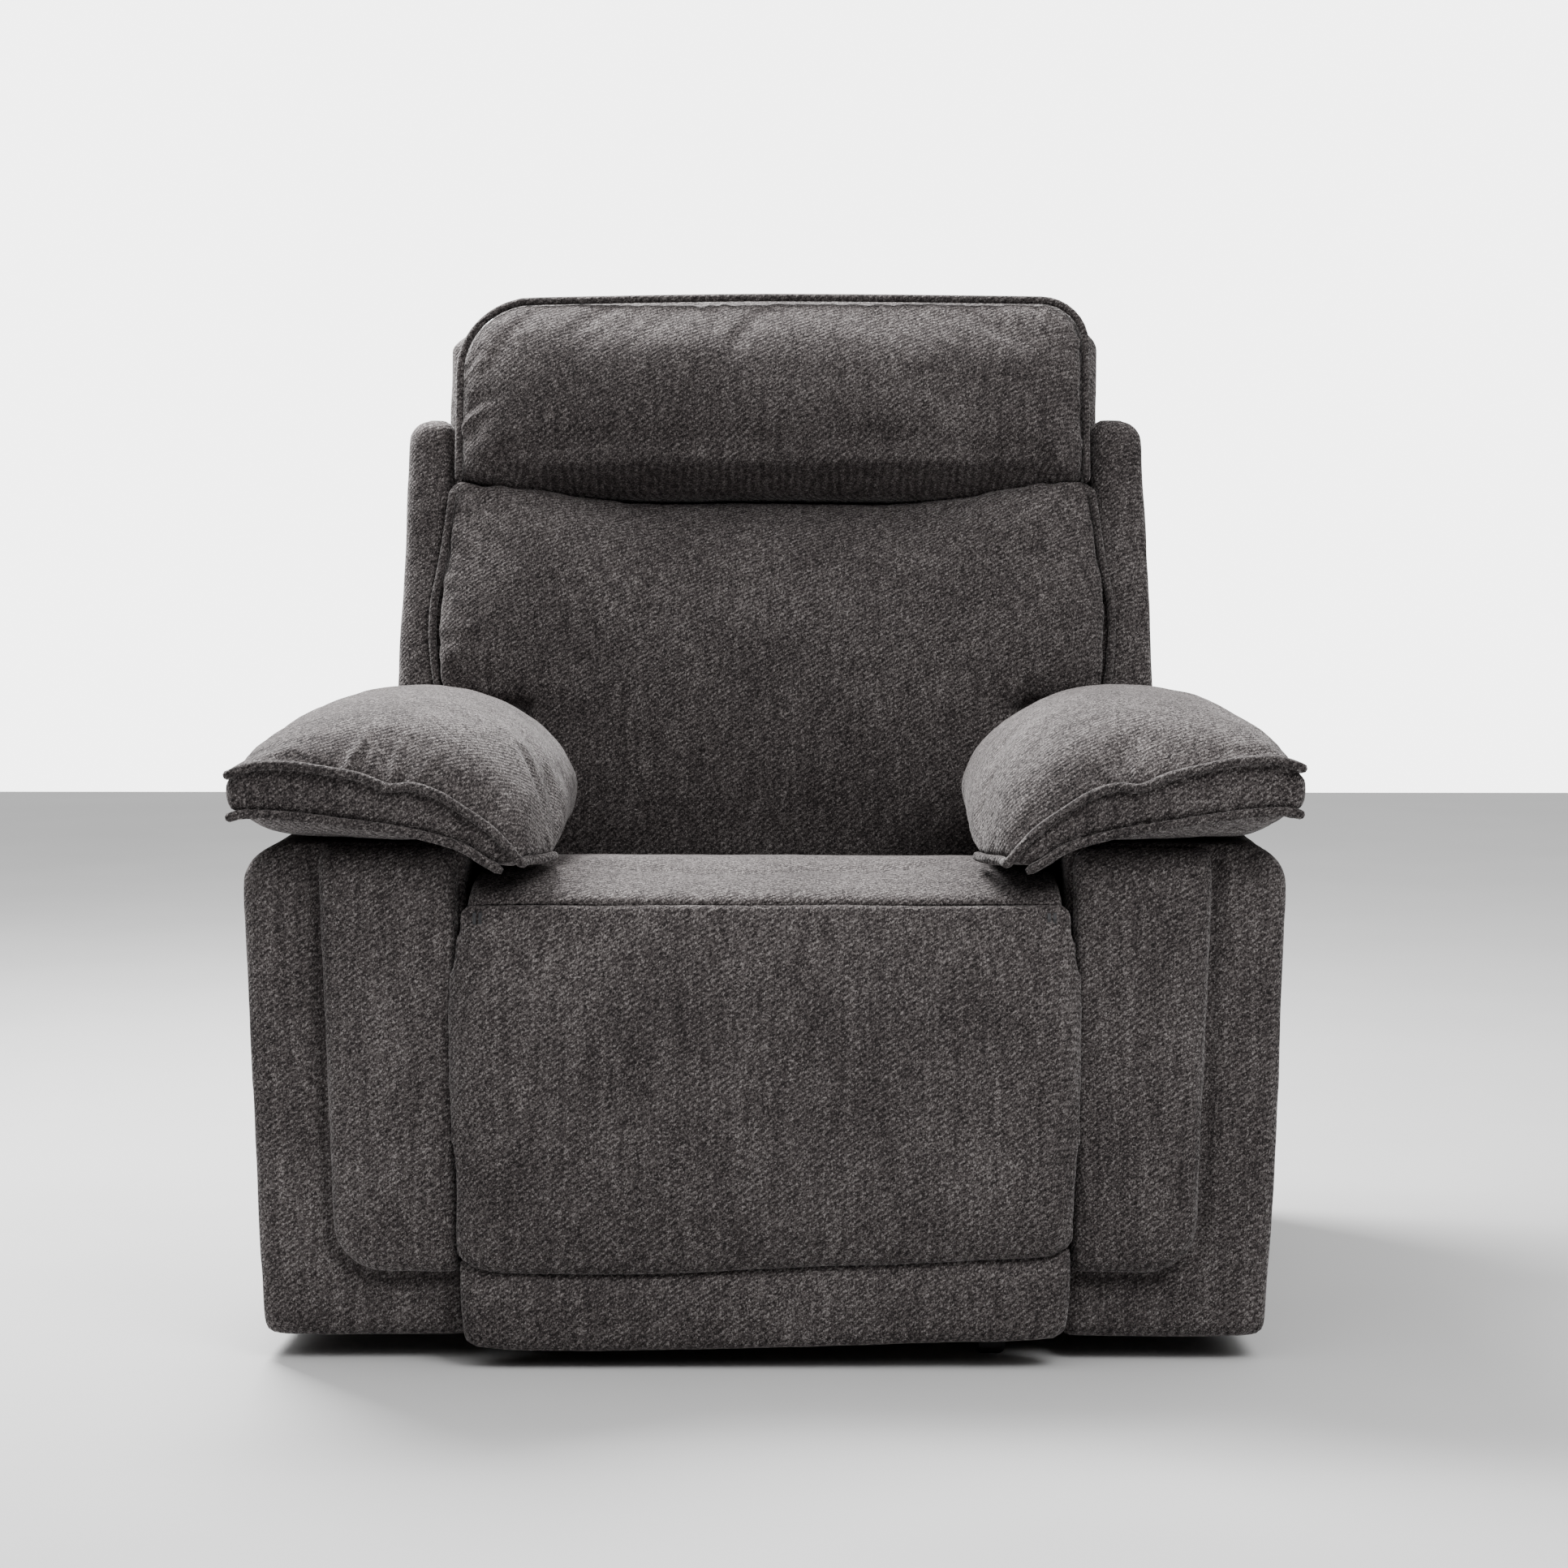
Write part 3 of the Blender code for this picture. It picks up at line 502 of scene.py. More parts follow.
def chenille(name, dark=1.0):
    """Charcoal chenille: fine light and dark yarn flecks that run in diagonal lines, softly brushed."""
    n = Nodes(name)
    twill = n.stretched((1.0, 0.9, 1.5), (0.60, 0.48, 0.64))
    tall = n.stretched((1.0, 1.0, 1.8))
    yarn = n.channel(n.cells(780.0, twill), 0)
    fibre = n.channel(n.cells(1250.0, tall), 1)
    ribs = n.add("ShaderNodeTexWave", Scale=74.0, Distortion=3.0, Detail=2.0, Detail_Scale=2.5)
    ribs.bands_direction = "Y"
    n.link(n.stretched((1.0, 1.0, 1.0), (0.396, -0.529, 0.751)), ribs.inputs["Vector"])
    flecks = n.math("ADD", n.times(yarn, 0.50), n.times(fibre, 0.34))
    flecks = n.math("ADD", flecks, n.times(ribs.outputs["Fac"], 0.16))
    streaks = n.noise(150.0, 2.0, n.stretched((1.0, 1.0, 14.0)))
    brushed = n.noise(8.0, 3.0)
    value = n.math("ADD", flecks, n.times(n.math("SUBTRACT", streaks, 0.5), 0.34))
    value = n.math("ADD", value, n.times(n.math("SUBTRACT", brushed, 0.5), 0.30))
    tones = (
        (0.14, (0.008, 0.0066, 0.0068)),
        (0.38, (0.029, 0.0242, 0.0242)),
        (0.56, (0.059, 0.0508, 0.0500)),
        (0.74, (0.112, 0.0995, 0.0970)),
        (0.92, (0.230, 0.2120, 0.2060)),
    )
    n.paint(value, [(position, tuple(c * dark for c in color)) for position, color in tones])
    threads = n.cells(780.0, twill, "Distance")
    n.bump(n.math("ADD", n.times(threads, -0.8), n.times(ribs.outputs["Fac"], 0.5)), 0.6, 0.0009)
    n.link(n.times(n.math("SUBTRACT", value, 0.22), 0.62), n.shader.inputs["Sheen Weight"])
    n.set(Roughness=0.92, Sheen_Roughness=0.45, Sheen_Tint=(0.95, 0.91, 0.90, 1.0), Specular_IOR_Level=0.18)
    return n.material


def cloth_lining(name, color):
    """Thin dark cloth with a close weave."""
    n = Nodes(name)
    grain = n.cells(700.0, n.stretched((1.0, 1.0, 1.4), (0.5, 0.4, 0.7)), "Distance")
    patches = n.noise(40.0, 3.0)
    n.paint(patches, ((0.3, tuple(c * 0.6 for c in color)), (0.7, tuple(c * 1.5 for c in color))))
    n.bump(grain, 0.4, 0.0006)
    n.set(Roughness=0.95, Sheen_Weight=0.05)
    return n.material


def timber(name):
    """Rough-sawn pale softwood with stretched grain."""
    n = Nodes(name)
    along = n.stretched((0.33, 0.33, 2.9))
    rings = n.noise(26.0, 6.0, along)
    n.paint(rings, ((0.30, (0.30, 0.185, 0.095)), (0.52, (0.47, 0.32, 0.18)), (0.72, (0.58, 0.42, 0.26))))
    n.bump(n.noise(180.0, 5.0, along), 0.35, 0.001)
    n.set(Roughness=0.72)
    return n.material


def coated_steel(name, color, roughness, metallic):
    """Painted or bare steel, with slow patches of wear in its colour and its shine."""
    n = Nodes(name)
    wear = n.noise(60.0, 6.0)
    n.paint(wear, ((0.35, tuple(c * 0.75 for c in color)), (0.75, tuple(c * 1.35 for c in color))))
    n.link(n.math("ADD", n.times(wear, 0.25), roughness - 0.12), n.shader.inputs["Roughness"])
    n.bump(n.noise(900.0, 2.0), 0.12, 0.0004)
    n.set(Metallic=metallic)
    return n.material


def moulded_plastic(name):
    """Black plastic with a fine spark-eroded grain."""
    n = Nodes(name)
    n.paint(n.noise(25.0, 3.0), ((0.3, (0.008, 0.008, 0.009)), (0.7, (0.016, 0.016, 0.017))))
    n.bump(n.noise(1300.0, 2.0), 0.25, 0.0004)
    n.link(n.math("ADD", n.times(n.noise(90.0, 3.0), 0.15), 0.36), n.shader.inputs["Roughness"])
    return n.material


# ---------------- arm pillows
# Half sections as (distance from the middle plane, z). The front ones are the welts' runs across the front.
PILLOW_FRONT_TOP = (
    (0.503, 0.569), (0.480, 0.577), (0.445, 0.5775), (0.412, 0.573), (0.380, 0.567), (0.353, 0.557),
    (0.330, 0.558), (0.306, 0.550), (0.285, 0.537), (0.259, 0.519), (0.243, 0.503), (0.229, 0.487),
)
PILLOW_FRONT_FOOT = (
    (0.229, 0.487), (0.246, 0.478), (0.262, 0.487), (0.285, 0.501), (0.317, 0.511), (0.352, 0.518),
    (0.397, 0.524), (0.445, 0.530), (0.487, 0.532), (0.502, 0.529),
)
PILLOW_CROWN_TOP = (
    (0.504, 0.570), (0.491, 0.594), (0.458, 0.611), (0.424, 0.622), (0.387, 0.628), (0.348, 0.630),
    (0.310, 0.626), (0.275, 0.614), (0.240, 0.590), (0.215, 0.561), (0.201, 0.526), (0.199, 0.484),
)
PILLOW_UNDER = (
    (0.199, 0.484), (0.232, 0.478), (0.262, 0.479), (0.280, 0.483), (0.2845, 0.5030), (0.330, 0.5035),
    (0.400, 0.5035), (0.445, 0.5035), (0.474, 0.508), (0.490, 0.515), (0.501, 0.527),
)
PILLOW_OUTER = 0.504
PILLOW_MIDDLE_Z = 0.530
PILLOW_BORDER_Z = 0.549
PILLOW_PULLS = (
    # start on the front welt, end up the crown, height
    ((0.393, -0.482, 0.570), (0.372, -0.430, 0.603), 0.0058),
    ((0.351, -0.482, 0.560), (0.341, -0.436, 0.592), 0.0050),
    ((0.330, -0.482, 0.560), (0.300, -0.430, 0.585), 0.0028),
)
PILLOW_STATIONS = (
    # distance behind the front, blend from front to crown section, height factor, width factor
    (0.000, 0.00, 1.0, 1.0), (0.018, 0.34, 1.0, 1.0), (0.045, 0.62, 1.0, 1.0), (0.085, 0.83, 1.0, 1.0),
    (0.135, 0.95, 1.0, 1.0), (0.200, 1.00, 1.0, 1.0), (0.300, 1.00, 0.99, 1.0), (0.400, 1.00, 0.92, 0.99),
    (0.470, 1.00, 0.80, 0.95), (0.520, 1.00, 0.66, 0.87), (0.555, 1.00, 0.45, 0.74),
)


def raised(section, lift):
    """The section with its outer end lifted."""
    return [(x, z + lift * max(0.0, (x - 0.36) / 0.143)) for x, z in section]


def pillow_front(side):
    """The two front sections. The right arm's pillow is fuller at its outer end."""
    if side < 0:
        return PILLOW_FRONT_TOP, PILLOW_FRONT_FOOT
    return raised(PILLOW_FRONT_TOP, 0.0075), raised(PILLOW_FRONT_FOOT, 0.0035)


def pillow_ring(side, y, mix, height, width):
    """One closed section of the pillow, from the outer upper welt over the top and back along the foot."""
    front_top, front_foot = pillow_front(side)
    top = np.array(front_top) * (1 - mix) + np.array(PILLOW_CROWN_TOP) * mix
    if side > 0:
        top[:, 0] += 0.012 * mix * bell(top[:, 0] - 0.470, 0.030)
    under = unit(1.5 * mix - 0.35)
    foot = resample(front_foot, 24, last=True) * (1 - under) + resample(PILLOW_UNDER, 24, last=True) * under
    for part in (top, foot):
        above = part[:, 1] > PILLOW_MIDDLE_Z
        part[above, 1] = PILLOW_MIDDLE_Z + (part[above, 1] - PILLOW_MIDDLE_Z) * height
        part[:, 0] = PILLOW_OUTER - (PILLOW_OUTER - part[:, 0]) * width
    ring = np.concatenate([resample(top, 44), resample(foot, 30), resample([foot[-1], top[0]], 6)])
    return [(side * x, y, z) for x, z in ring], top, foot


def arm_pillow(name, side, fabric, piping):
    """The fat pad on the arm: it swells between two welts, which run round its boxed border."""
    front = cad_low.y + 0.003
    rings, upper, lower, inner = [], [], [], []
    for offset, mix, height, width in PILLOW_STATIONS:
        ring, top, foot = pillow_ring(side, front + offset, mix, height, width)
        rings.append(ring)
        upper.append((side * (top[0, 0] - 0.002), front + offset, top[0, 1]))
        lower.append((side * (foot[-1, 0] - 0.002), front + offset, foot[-1, 1]))
        inner.append((side * foot[0, 0], front + offset, foot[0, 1]))
    face_top, face_foot = ([(side * x, front - 0.003, z) for x, z in part] for part in pillow_front(side))
    upper_seam = upper[:0:-1] + face_top + inner[1:4]
    lower_seam = lower[:0:-1] + face_foot[:0:-1]
    seams = (upper_seam, lower_seam)

    def hold(x, y, z):
        if z < 0.5045 and abs(x) > 0.284:
            return 1.0
        return 0.8 if y < front + 0.008 else 0.0

    shape = loft(rings)
    obj = start_soft("arm_pillow_" + name, shape, seams, hold, swell=0.010, grow=0.02, even=3, fine=True)

    def complete():
        points = coords(obj)
        on_border = np.exp(-(((points[:, 2] - PILLOW_BORDER_Z) / 0.020) ** 4))
        on_border *= unit((abs(points[:, 0]) - 0.486) / 0.010)
        points[:, 0] += side * 0.0045 * on_border
        set_coords(obj, points)
        sew(obj, seams, depth=0.0030, width=0.0055, pucker=0.0030, reach=0.026, seed=3.1 * side)
        for start, end, height in PILLOW_PULLS:
            spots = [(side * x, y, z) for x, y, z in (start, end)]
            pull(obj, *spots, height=height, width=0.0045, side=side)
        ripple(obj, 0.0016, 0.05, 0.0004, 0.016, seed=side)
        finish_piece(obj, "root", fabric, "arm_top_pad_" + name)
        welt("arm_pillow_upper_welt_" + name, upper_seam, "root", piping)
        welt("arm_pillow_lower_welt_" + name, lower_seam, "root", piping)

    return complete


# ---------------- arm bodies
def arm_cover(name, side, fabric):
    """The upholstered arm: tapered, soft-edged and fullest in front, with a crease round the front panel."""
    low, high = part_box("arm_casing_" + name)
    inner = min(abs(low.x), abs(high.x)) - 0.0015
    outer = max(abs(low.x), abs(high.x))
    taper = 0.017
    bottom, top = low.z - 0.0075, high.z - 0.0005
    corners = ((inner, bottom), (outer - taper, bottom), (outer, top), (inner, top))
    outline = fillet([(side * x, z) for x, z in corners], (0.006, 0.008, 0.036, 0.010))
    shape = block(outline, rounded_ends(low.y - 0.005, high.y, 0.014))
    obj = remesh(mesh_object("arm_cover_" + name, *shape))
    relax(obj, 4)
    points, facing = coords(obj), normals(obj)
    x, y, z = points.T
    fullness = (0.0135 if side < 0 else 0.0120) * bell(y - low.y, 0.16)
    fullness = fullness - 0.0020 - 0.003 * bell(y - high.y, 0.10)
    belly = 0.002 * np.sin(np.pi * unit((z - bottom) / (top - bottom)))
    x += side * (fullness + belly) * unit(facing[:, 0] * side)
    y += 0.010 * (unit((z - top + 0.050) / 0.050) ** 2 * unit(-facing[:, 1]))
    set_coords(obj, points)
    panel_low, panel_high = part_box("arm_front_pad_" + name)
    edge = max(abs(panel_low.x), abs(panel_high.x)) + 0.002
    foot, head = panel_low.z - 0.008, panel_high.z
    crease = fillet(((edge, head), (edge - 0.012, foot), (inner, foot)), (0.0, 0.052, 0.0), 10)
    seam = [(side * x, low.y - 0.005, z) for x, z in crease]
    sew(obj, [seam], depth=0.0085, width=0.0075, pucker=0.0006, reach=0.02, seed=side)
    ripple(obj, 0.0016, 0.11, 0.0004, 0.03, seed=4 + side)
    finish_piece(obj, "root", fabric, "arm_casing_" + name)


def arm_front_pad(name, side, fabric):
    """The padded panel on the arm's front: soft rolled edges and a wide round at its lower outer corner."""
    low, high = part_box("arm_front_pad_" + name)
    inner = min(abs(low.x), abs(high.x))
    outer = max(abs(low.x), abs(high.x))
    foot = low.z - 0.006
    corners = ((inner, foot), (outer - 0.014, foot), (outer, high.z), (inner, high.z))
    outline = fillet([(side * x, z) for x, z in corners], (0.004, 0.050, 0.014, 0.014), 8)
    rear, front = high.y - 0.001, low.y - 0.010
    depth, edge_roll = rear - front, 0.015
    rings = [[(x, rear, z) for x, z in outline]]
    for k in range(9):
        turn = math.pi / 2 * k / 8
        inset = edge_roll * (1 - math.cos(turn))
        y = rear - 0.001 - (depth - 0.001) * math.sin(turn)
        rings.append([(x, y, z) for x, z in inset_outline(outline, inset)])
    for k in range(1, 12):
        inset = edge_roll + 0.050 * k / 12
        crown = 0.0045 * math.sin(math.pi / 2 * k / 12)
        rings.append([(x, front - crown, z) for x, z in inset_outline(outline, inset)])
    obj = remesh(mesh_object("arm_front_panel_" + name, *loft(rings)), 0.0045)
    relax(obj, 3)
    points = coords(obj)
    points[:, 1] += 0.011 * unit((points[:, 2] - high.z + 0.055) / 0.055) ** 2
    set_coords(obj, points)
    ripple(obj, 0.0010, 0.07, 0.0004, 0.02, seed=9 + side)
    finish_piece(obj, "root", fabric, "arm_front_pad_" + name)


# ---------------- seat and footrest
FOOTREST_ROOT_HALF = 0.2790
FOOTREST_EDGE_DEPTH = 0.0125
FOOTREST_HALF_WIDTH = (
    # z, half width
    (0.033, 0.2845), (0.060, 0.2865), (0.100, 0.2885), (0.180, 0.2925), (0.230, 0.2950), (0.300, 0.2985),
    (0.340, 0.2980), (0.400, 0.2930), (0.445, 0.2870),
)


def hem_drop(x):
    """How far the flap's hem hangs below its mean height: it sags on the left and draws up at both ends."""
    return 0.0075 * math.cos(math.pi * (x + 0.17) / 0.45) - 0.006 * min(1.0, abs(x) / 0.285) ** 14


def lower_hem(obj, amount_at):
    """Lets the points down by hem_drop, as far as amount_at(z) says."""
    points = coords(obj)
    drop = np.array([hem_drop(x) * amount_at(z) for x, _, z in points])
    points[:, 2] -= drop
    set_coords(obj, points)


def front_ring(z, half, face, edge, back, inner, roll):
    """A plan section of the front panel: flat face, round side edges, a narrower root between the arms."""
    left = [(-inner, back), (-inner, edge + 0.004), (-half, edge), (-half, face + roll), (-half + roll, face)]
    radii = [0, 0.003, 0.004, roll * 0.6, roll * 0.6]
    outline = fillet(left + [(-x, y) for x, y in reversed(left)], radii + radii[::-1], 4)
    return [(x, y, z) for x, y in outline]


FOOTREST_FULLNESS = (
    # height above the hem, how far the face stands out
    (0.0, 0.74), (0.004, 0.90), (0.010, 0.98), (0.020, 1.0), (0.036, 1.0), (0.07, 1.0), (0.12, 1.0),
    (0.18, 1.0), (0.24, 0.98), (0.28, 0.93), (0.305, 0.85), (0.322, 0.76), (0.332, 0.67), (0.339, 0.58),
    (0.3445, 0.50),
)


def footrest_pad(fabric):
    """The footrest's padded front: rolled at its hem and turning back towards the seat at its top."""
    low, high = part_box("footrest_pad")
    back = high.y
    edge = back - FOOTREST_EDGE_DEPTH
    bottom, top = low.z - 0.003, 0.4440
    bevel_start = 0.421
    rings = []
    for height, part in FOOTREST_FULLNESS:
        z = bottom + height * (top - bottom) / FOOTREST_FULLNESS[-1][0]
        face = edge - (edge - (low.y + 0.004)) * part
        rear = back - max(0.0, z - bevel_start) * 1.4
        half = read_off(FOOTREST_HALF_WIDTH, z) + 0.006 - 0.012 * (1 - part)
        rings.append(front_ring(z, half, face, edge, rear, FOOTREST_ROOT_HALF, 0.016))
    seam_top = [(x, edge - 0.0132, top - 0.001) for x in np.linspace(-0.27, 0.27, 12)]
    hem = [(x, edge - 0.020, bottom + 0.001) for x in np.linspace(-0.265, 0.265, 12)]

    def hold(x, y, z):
        return 1.0 if y > edge - 0.004 or z > top - 0.006 else 0.0

    obj = start_soft("footrest_cover", loft(rings), (seam_top, hem), hold, swell=0.007, grow=0.008)

    def complete():
        lower_hem(obj, lambda z: unit((0.17 - z) / 0.06))
        sew(obj, [seam_top], 0.0004, 0.004, 0.0012, 0.03, seed=5.0)
        ripple(obj, 0.0022, 0.13, 0.0005, 0.03, seed=21)
        finish_piece(obj, "footrest", fabric, "footrest_pad")

    return complete


def kick_pad(fabric):
    """The lower pad: round at its foot and lower corners, and drawn back at its top, under the flap's hem."""
    low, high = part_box("footrest_lower_pad")
    back = high.y
    edge = back - FOOTREST_EDGE_DEPTH
    bottom, top = low.z - 0.0130, high.z + 0.003
    corner, foot_roll, fullness, steps = 0.013, 0.008, 0.0205, 18
    rings = []
    for k in range(steps + 1):
        height = (top - bottom) * k / steps
        z = bottom + height
        rise = max(0.0, 1 - height / corner)
        drawn = corner * (1 - math.sqrt(max(0.0, 1 - rise * rise)))
        half = read_off(FOOTREST_HALF_WIDTH, z) + 0.004 - drawn
        belly = math.sqrt(max(0.0, 1 - max(0.0, 1 - height / foot_roll) ** 2))
        face = edge - 0.004 - fullness * belly * (1 - 0.80 * (height / (top - bottom)) ** 6)
        inner = min(FOOTREST_ROOT_HALF, half - 0.004)
        rings.append(front_ring(z, half, face, edge, back, inner, 0.012))
    obj = remesh(mesh_object("kick_pad_cover", *loft(rings)), 0.0050)
    relax(obj, 2)
    lower_hem(obj, lambda z: 0.7 + 0.3 * (z - bottom) / (top - bottom))
    ripple(obj, 0.0012, 0.09, 0.0005, 0.025, seed=31)
    finish_piece(obj, "footrest", fabric, "footrest_lower_pad")


def seat(fabric):
    """The seat cushion: its front curls over to a thin seam at the lip."""
    low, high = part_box("seat_cushion")
    half, rear, front = high.x - 0.001, high.y - 0.001, low.y
    bottom, lip, crown = low.z + 0.0005, 0.4425, high.z - 0.006
    corners = (
        (rear, bottom), (rear, crown - 0.044), (-0.12, crown - 0.020), (-0.33, crown + 0.001),
        (front + 0.056, crown - 0.001), (front + 0.018, lip + 0.017), (front + 0.006, lip - 0.0015),
        (-0.409, lip), (-0.4045, bottom),
    )
    profile = fillet(corners, (0.008, 0.012, 0.05, 0.05, 0.040, 0.012, 0.001, 0.002, 0.004), 5)

    def ring_at(x, inset):
        return [(x, y, z - inset * 0.9 * unit((z - 0.425) / 0.03)) for y, z in profile]

    def hold(x, y, z):
        return 1.0 if z < lip + 0.003 or y > rear - 0.01 or abs(x) > half - 0.012 else 0.0

    shape = loft([ring_at(x, inset) for x, inset in rounded_ends(-half, half, 0.010)])
    across = np.linspace(-half, half, 16)
    seam = [(x, front + 0.006, lip + 0.001 - 0.006 * (abs(x) / half) ** 6) for x in across]
    obj = start_soft("seat_cushion_cover", shape, (seam,), hold, swell=0.007, grow=0.012, rounds=2)

    def complete():
        points = coords(obj)
        x, y, z = points.T
        # a shallow crease across the seat, behind its front curl
        z -= 0.0022 * bell(y + 0.375 + 0.01 * np.cos(x * 9), 0.010) * unit((z - 0.455) / 0.01)
        set_coords(obj, points)
        sew(obj, [seam], 0.0012, 0.004, 0.0016, 0.03, seed=6.0)
        ripple(obj, 0.0018, 0.10, 0.0005, 0.025, seed=41)
        finish_piece(obj, "root", fabric, "seat_cushion")

    return complete


# ---------------- back
LOWER_HALF_WIDTH = (
    # w, half width
    (0.235, 0.360), (0.270, 0.3665), (0.310, 0.3700), (0.340, 0.3690), (0.400, 0.3580), (0.4705, 0.3490),
)
SIDE_SEAM_V = -0.150
HEAD_HALF = 0.3440
PLEAT_RISE = 0.0145
HEAD_SEAM_W = 0.6875
HEAD_LEFT_RADIUS, HEAD_RIGHT_RADIUS = 0.078, 0.048
HEAD_FACE = (
    # v, inset at the sides, at the top; the foot curls under by a formula
    (-0.1788, 0.085, 0.080), (-0.1780, 0.064, 0.066), (-0.1755, 0.042, 0.050), (-0.1710, 0.024, 0.034),
    (-0.1640, 0.010, 0.019), (-0.1560, 0.003, 0.008), (-0.1480, 0.000, 0.000), (-0.1380, 0.000, 0.000),
    (-0.1260, 0.000, 0.000),
)
HEAD_BOXING = (
    # v, inset at the sides, at the top, at the bottom in the middle of the width
    (-0.1130, -0.0010, 0.000, 0.000), (-0.0600, -0.0100, 0.000, 0.000), (-0.0200, -0.0195, 0.000, 0.000),
    (0.0200, -0.0205, 0.000, 0.000), (0.0600, -0.0200, 0.000, 0.000), (0.0850, -0.0170, 0.002, 0.000),
    (0.1000, -0.0110, 0.008, 0.004),
)
HEAD_PULLS = (
    # start at the side seam, end on the face, height
    ((-0.340, -0.156, 0.541), (-0.296, -0.172, 0.560), 0.0040),
    ((-0.340, -0.156, 0.594), (-0.306, -0.172, 0.615), 0.0026),
    ((0.340, -0.156, 0.520), (0.300, -0.170, 0.532), 0.0020),
)


def pleat_sag(x):
    """How far the pleat hangs below its ends at this distance from the middle."""
    return 0.006 * (1 - min(1.0, (abs(x) / 0.33) ** 2))


def back_cushion(fabric, piping):
    """The lower back cushion: full width above the arms, narrower between them."""
    rear, shoulder, narrow = -0.0160, 0.237, 0.2725
    heights = [0.046, 0.050, 0.060, 0.080, 0.13, 0.17, 0.21, 0.232, shoulder + 0.001]
    heights += [0.25, 0.28, 0.31, 0.34, 0.37, 0.395, 0.415, 0.430, 0.442, 0.451, 0.458, 0.463, 0.466]
    rings = []
    for w in heights:
        wide = w > shoulder
        half = read_off(LOWER_HALF_WIDTH, w) if wide else narrow
        tuck = max(0.0, (w - 0.405) / 0.061)
        foot = max(0.0, (0.075 - w) / 0.029)
        face = -0.1710 + (0.85 if wide else 0.75) * (w - 0.26) ** 2 * (w < 0.26) + 0.016 * foot**2
        side_v = min(SIDE_SEAM_V, face + 0.006) if wide else face + 0.018
        side_v = max(side_v, face + 0.004)
        root = 0.3600 if wide else narrow - 0.002
        step = -0.1425 if wide else -0.120
        outline = [(-root, rear), (-root, max(step, side_v + 0.003)), (-half, side_v), (-half * 0.90, face)]
        outline += [(-x, v) for x, v in reversed(outline)]
        ring = np.concatenate([resample(outline, 60), resample([outline[-1], outline[0]], 12)])
        sag = max(0.0, (w - 0.38) / 0.086)
        slope = 1.10 * max(0.0, w - 0.27) ** 2 + 0.034 * tuck**2
        ring = [(x, v + slope * (1 - 0.75 * flush(x)) * (v < -0.10), w) for x, v in ring]
        rings.append(lean([(x, v, w + (PLEAT_RISE - pleat_sag(x)) * sag) for x, v, w in ring]))
    heights = np.linspace(0.243, 0.470, 12)
    edge = [(read_off(LOWER_HALF_WIDTH, w), w) for w in heights]
    edges = [lean([(side * x, SIDE_SEAM_V, w) for x, w in edge]) for _, side in SIDES]

    def hold(x, y, z):
        return 1.0 if abs(x) > 0.374 or z < 0.450 else 0.0

    obj = start_soft("back_cushion_cover", loft(rings), edges, hold, swell=0.013, grow=0.015, even=3)

    def complete():
        sew(obj, edges, 0.004, 0.006, 0.0030, 0.035, seed=8.0)
        ripple(obj, 0.0022, 0.12, 0.0006, 0.03, seed=51)
        finish_piece(obj, "back", fabric, "back_cushion")
        for (name, side), line in zip(SIDES, edges):
            path = [p + Vector((side * 0.0020, -0.0012, 0)) for p in line]
            welt("back_cushion_welt_" + name, path, "back", piping, 0.0044)

    return complete


def head_droop(x):
    """How much lower the head's top edge is at this distance from the middle; more on the left."""
    if x < 0:
        return 0.0065 * min(1.0, -x / HEAD_HALF) ** 1.6
    return 0.0040 * min(1.0, x / HEAD_HALF) ** 1.6


def flush(x):
    """1 near the ends of the pleat, where the two cushions meet level with each other, 0 in the middle."""
    part = unit((abs(x) - 0.10) / 0.20)
    return part * part * (3 - 2 * part)


def head_outline():
    """The head cushion's outline from the front, as (x, w)."""
    half, low, high = HEAD_HALF, 0.4640, HEAD_SEAM_W
    corners = ((-half, low), (half, low), (half, high), (-half, high))
    outline = fillet(corners, (0.006, 0.006, HEAD_RIGHT_RADIUS, HEAD_LEFT_RADIUS), 8)
    return [(x, w - head_droop(x) if w > 0.6 else w) for x, w in outline]


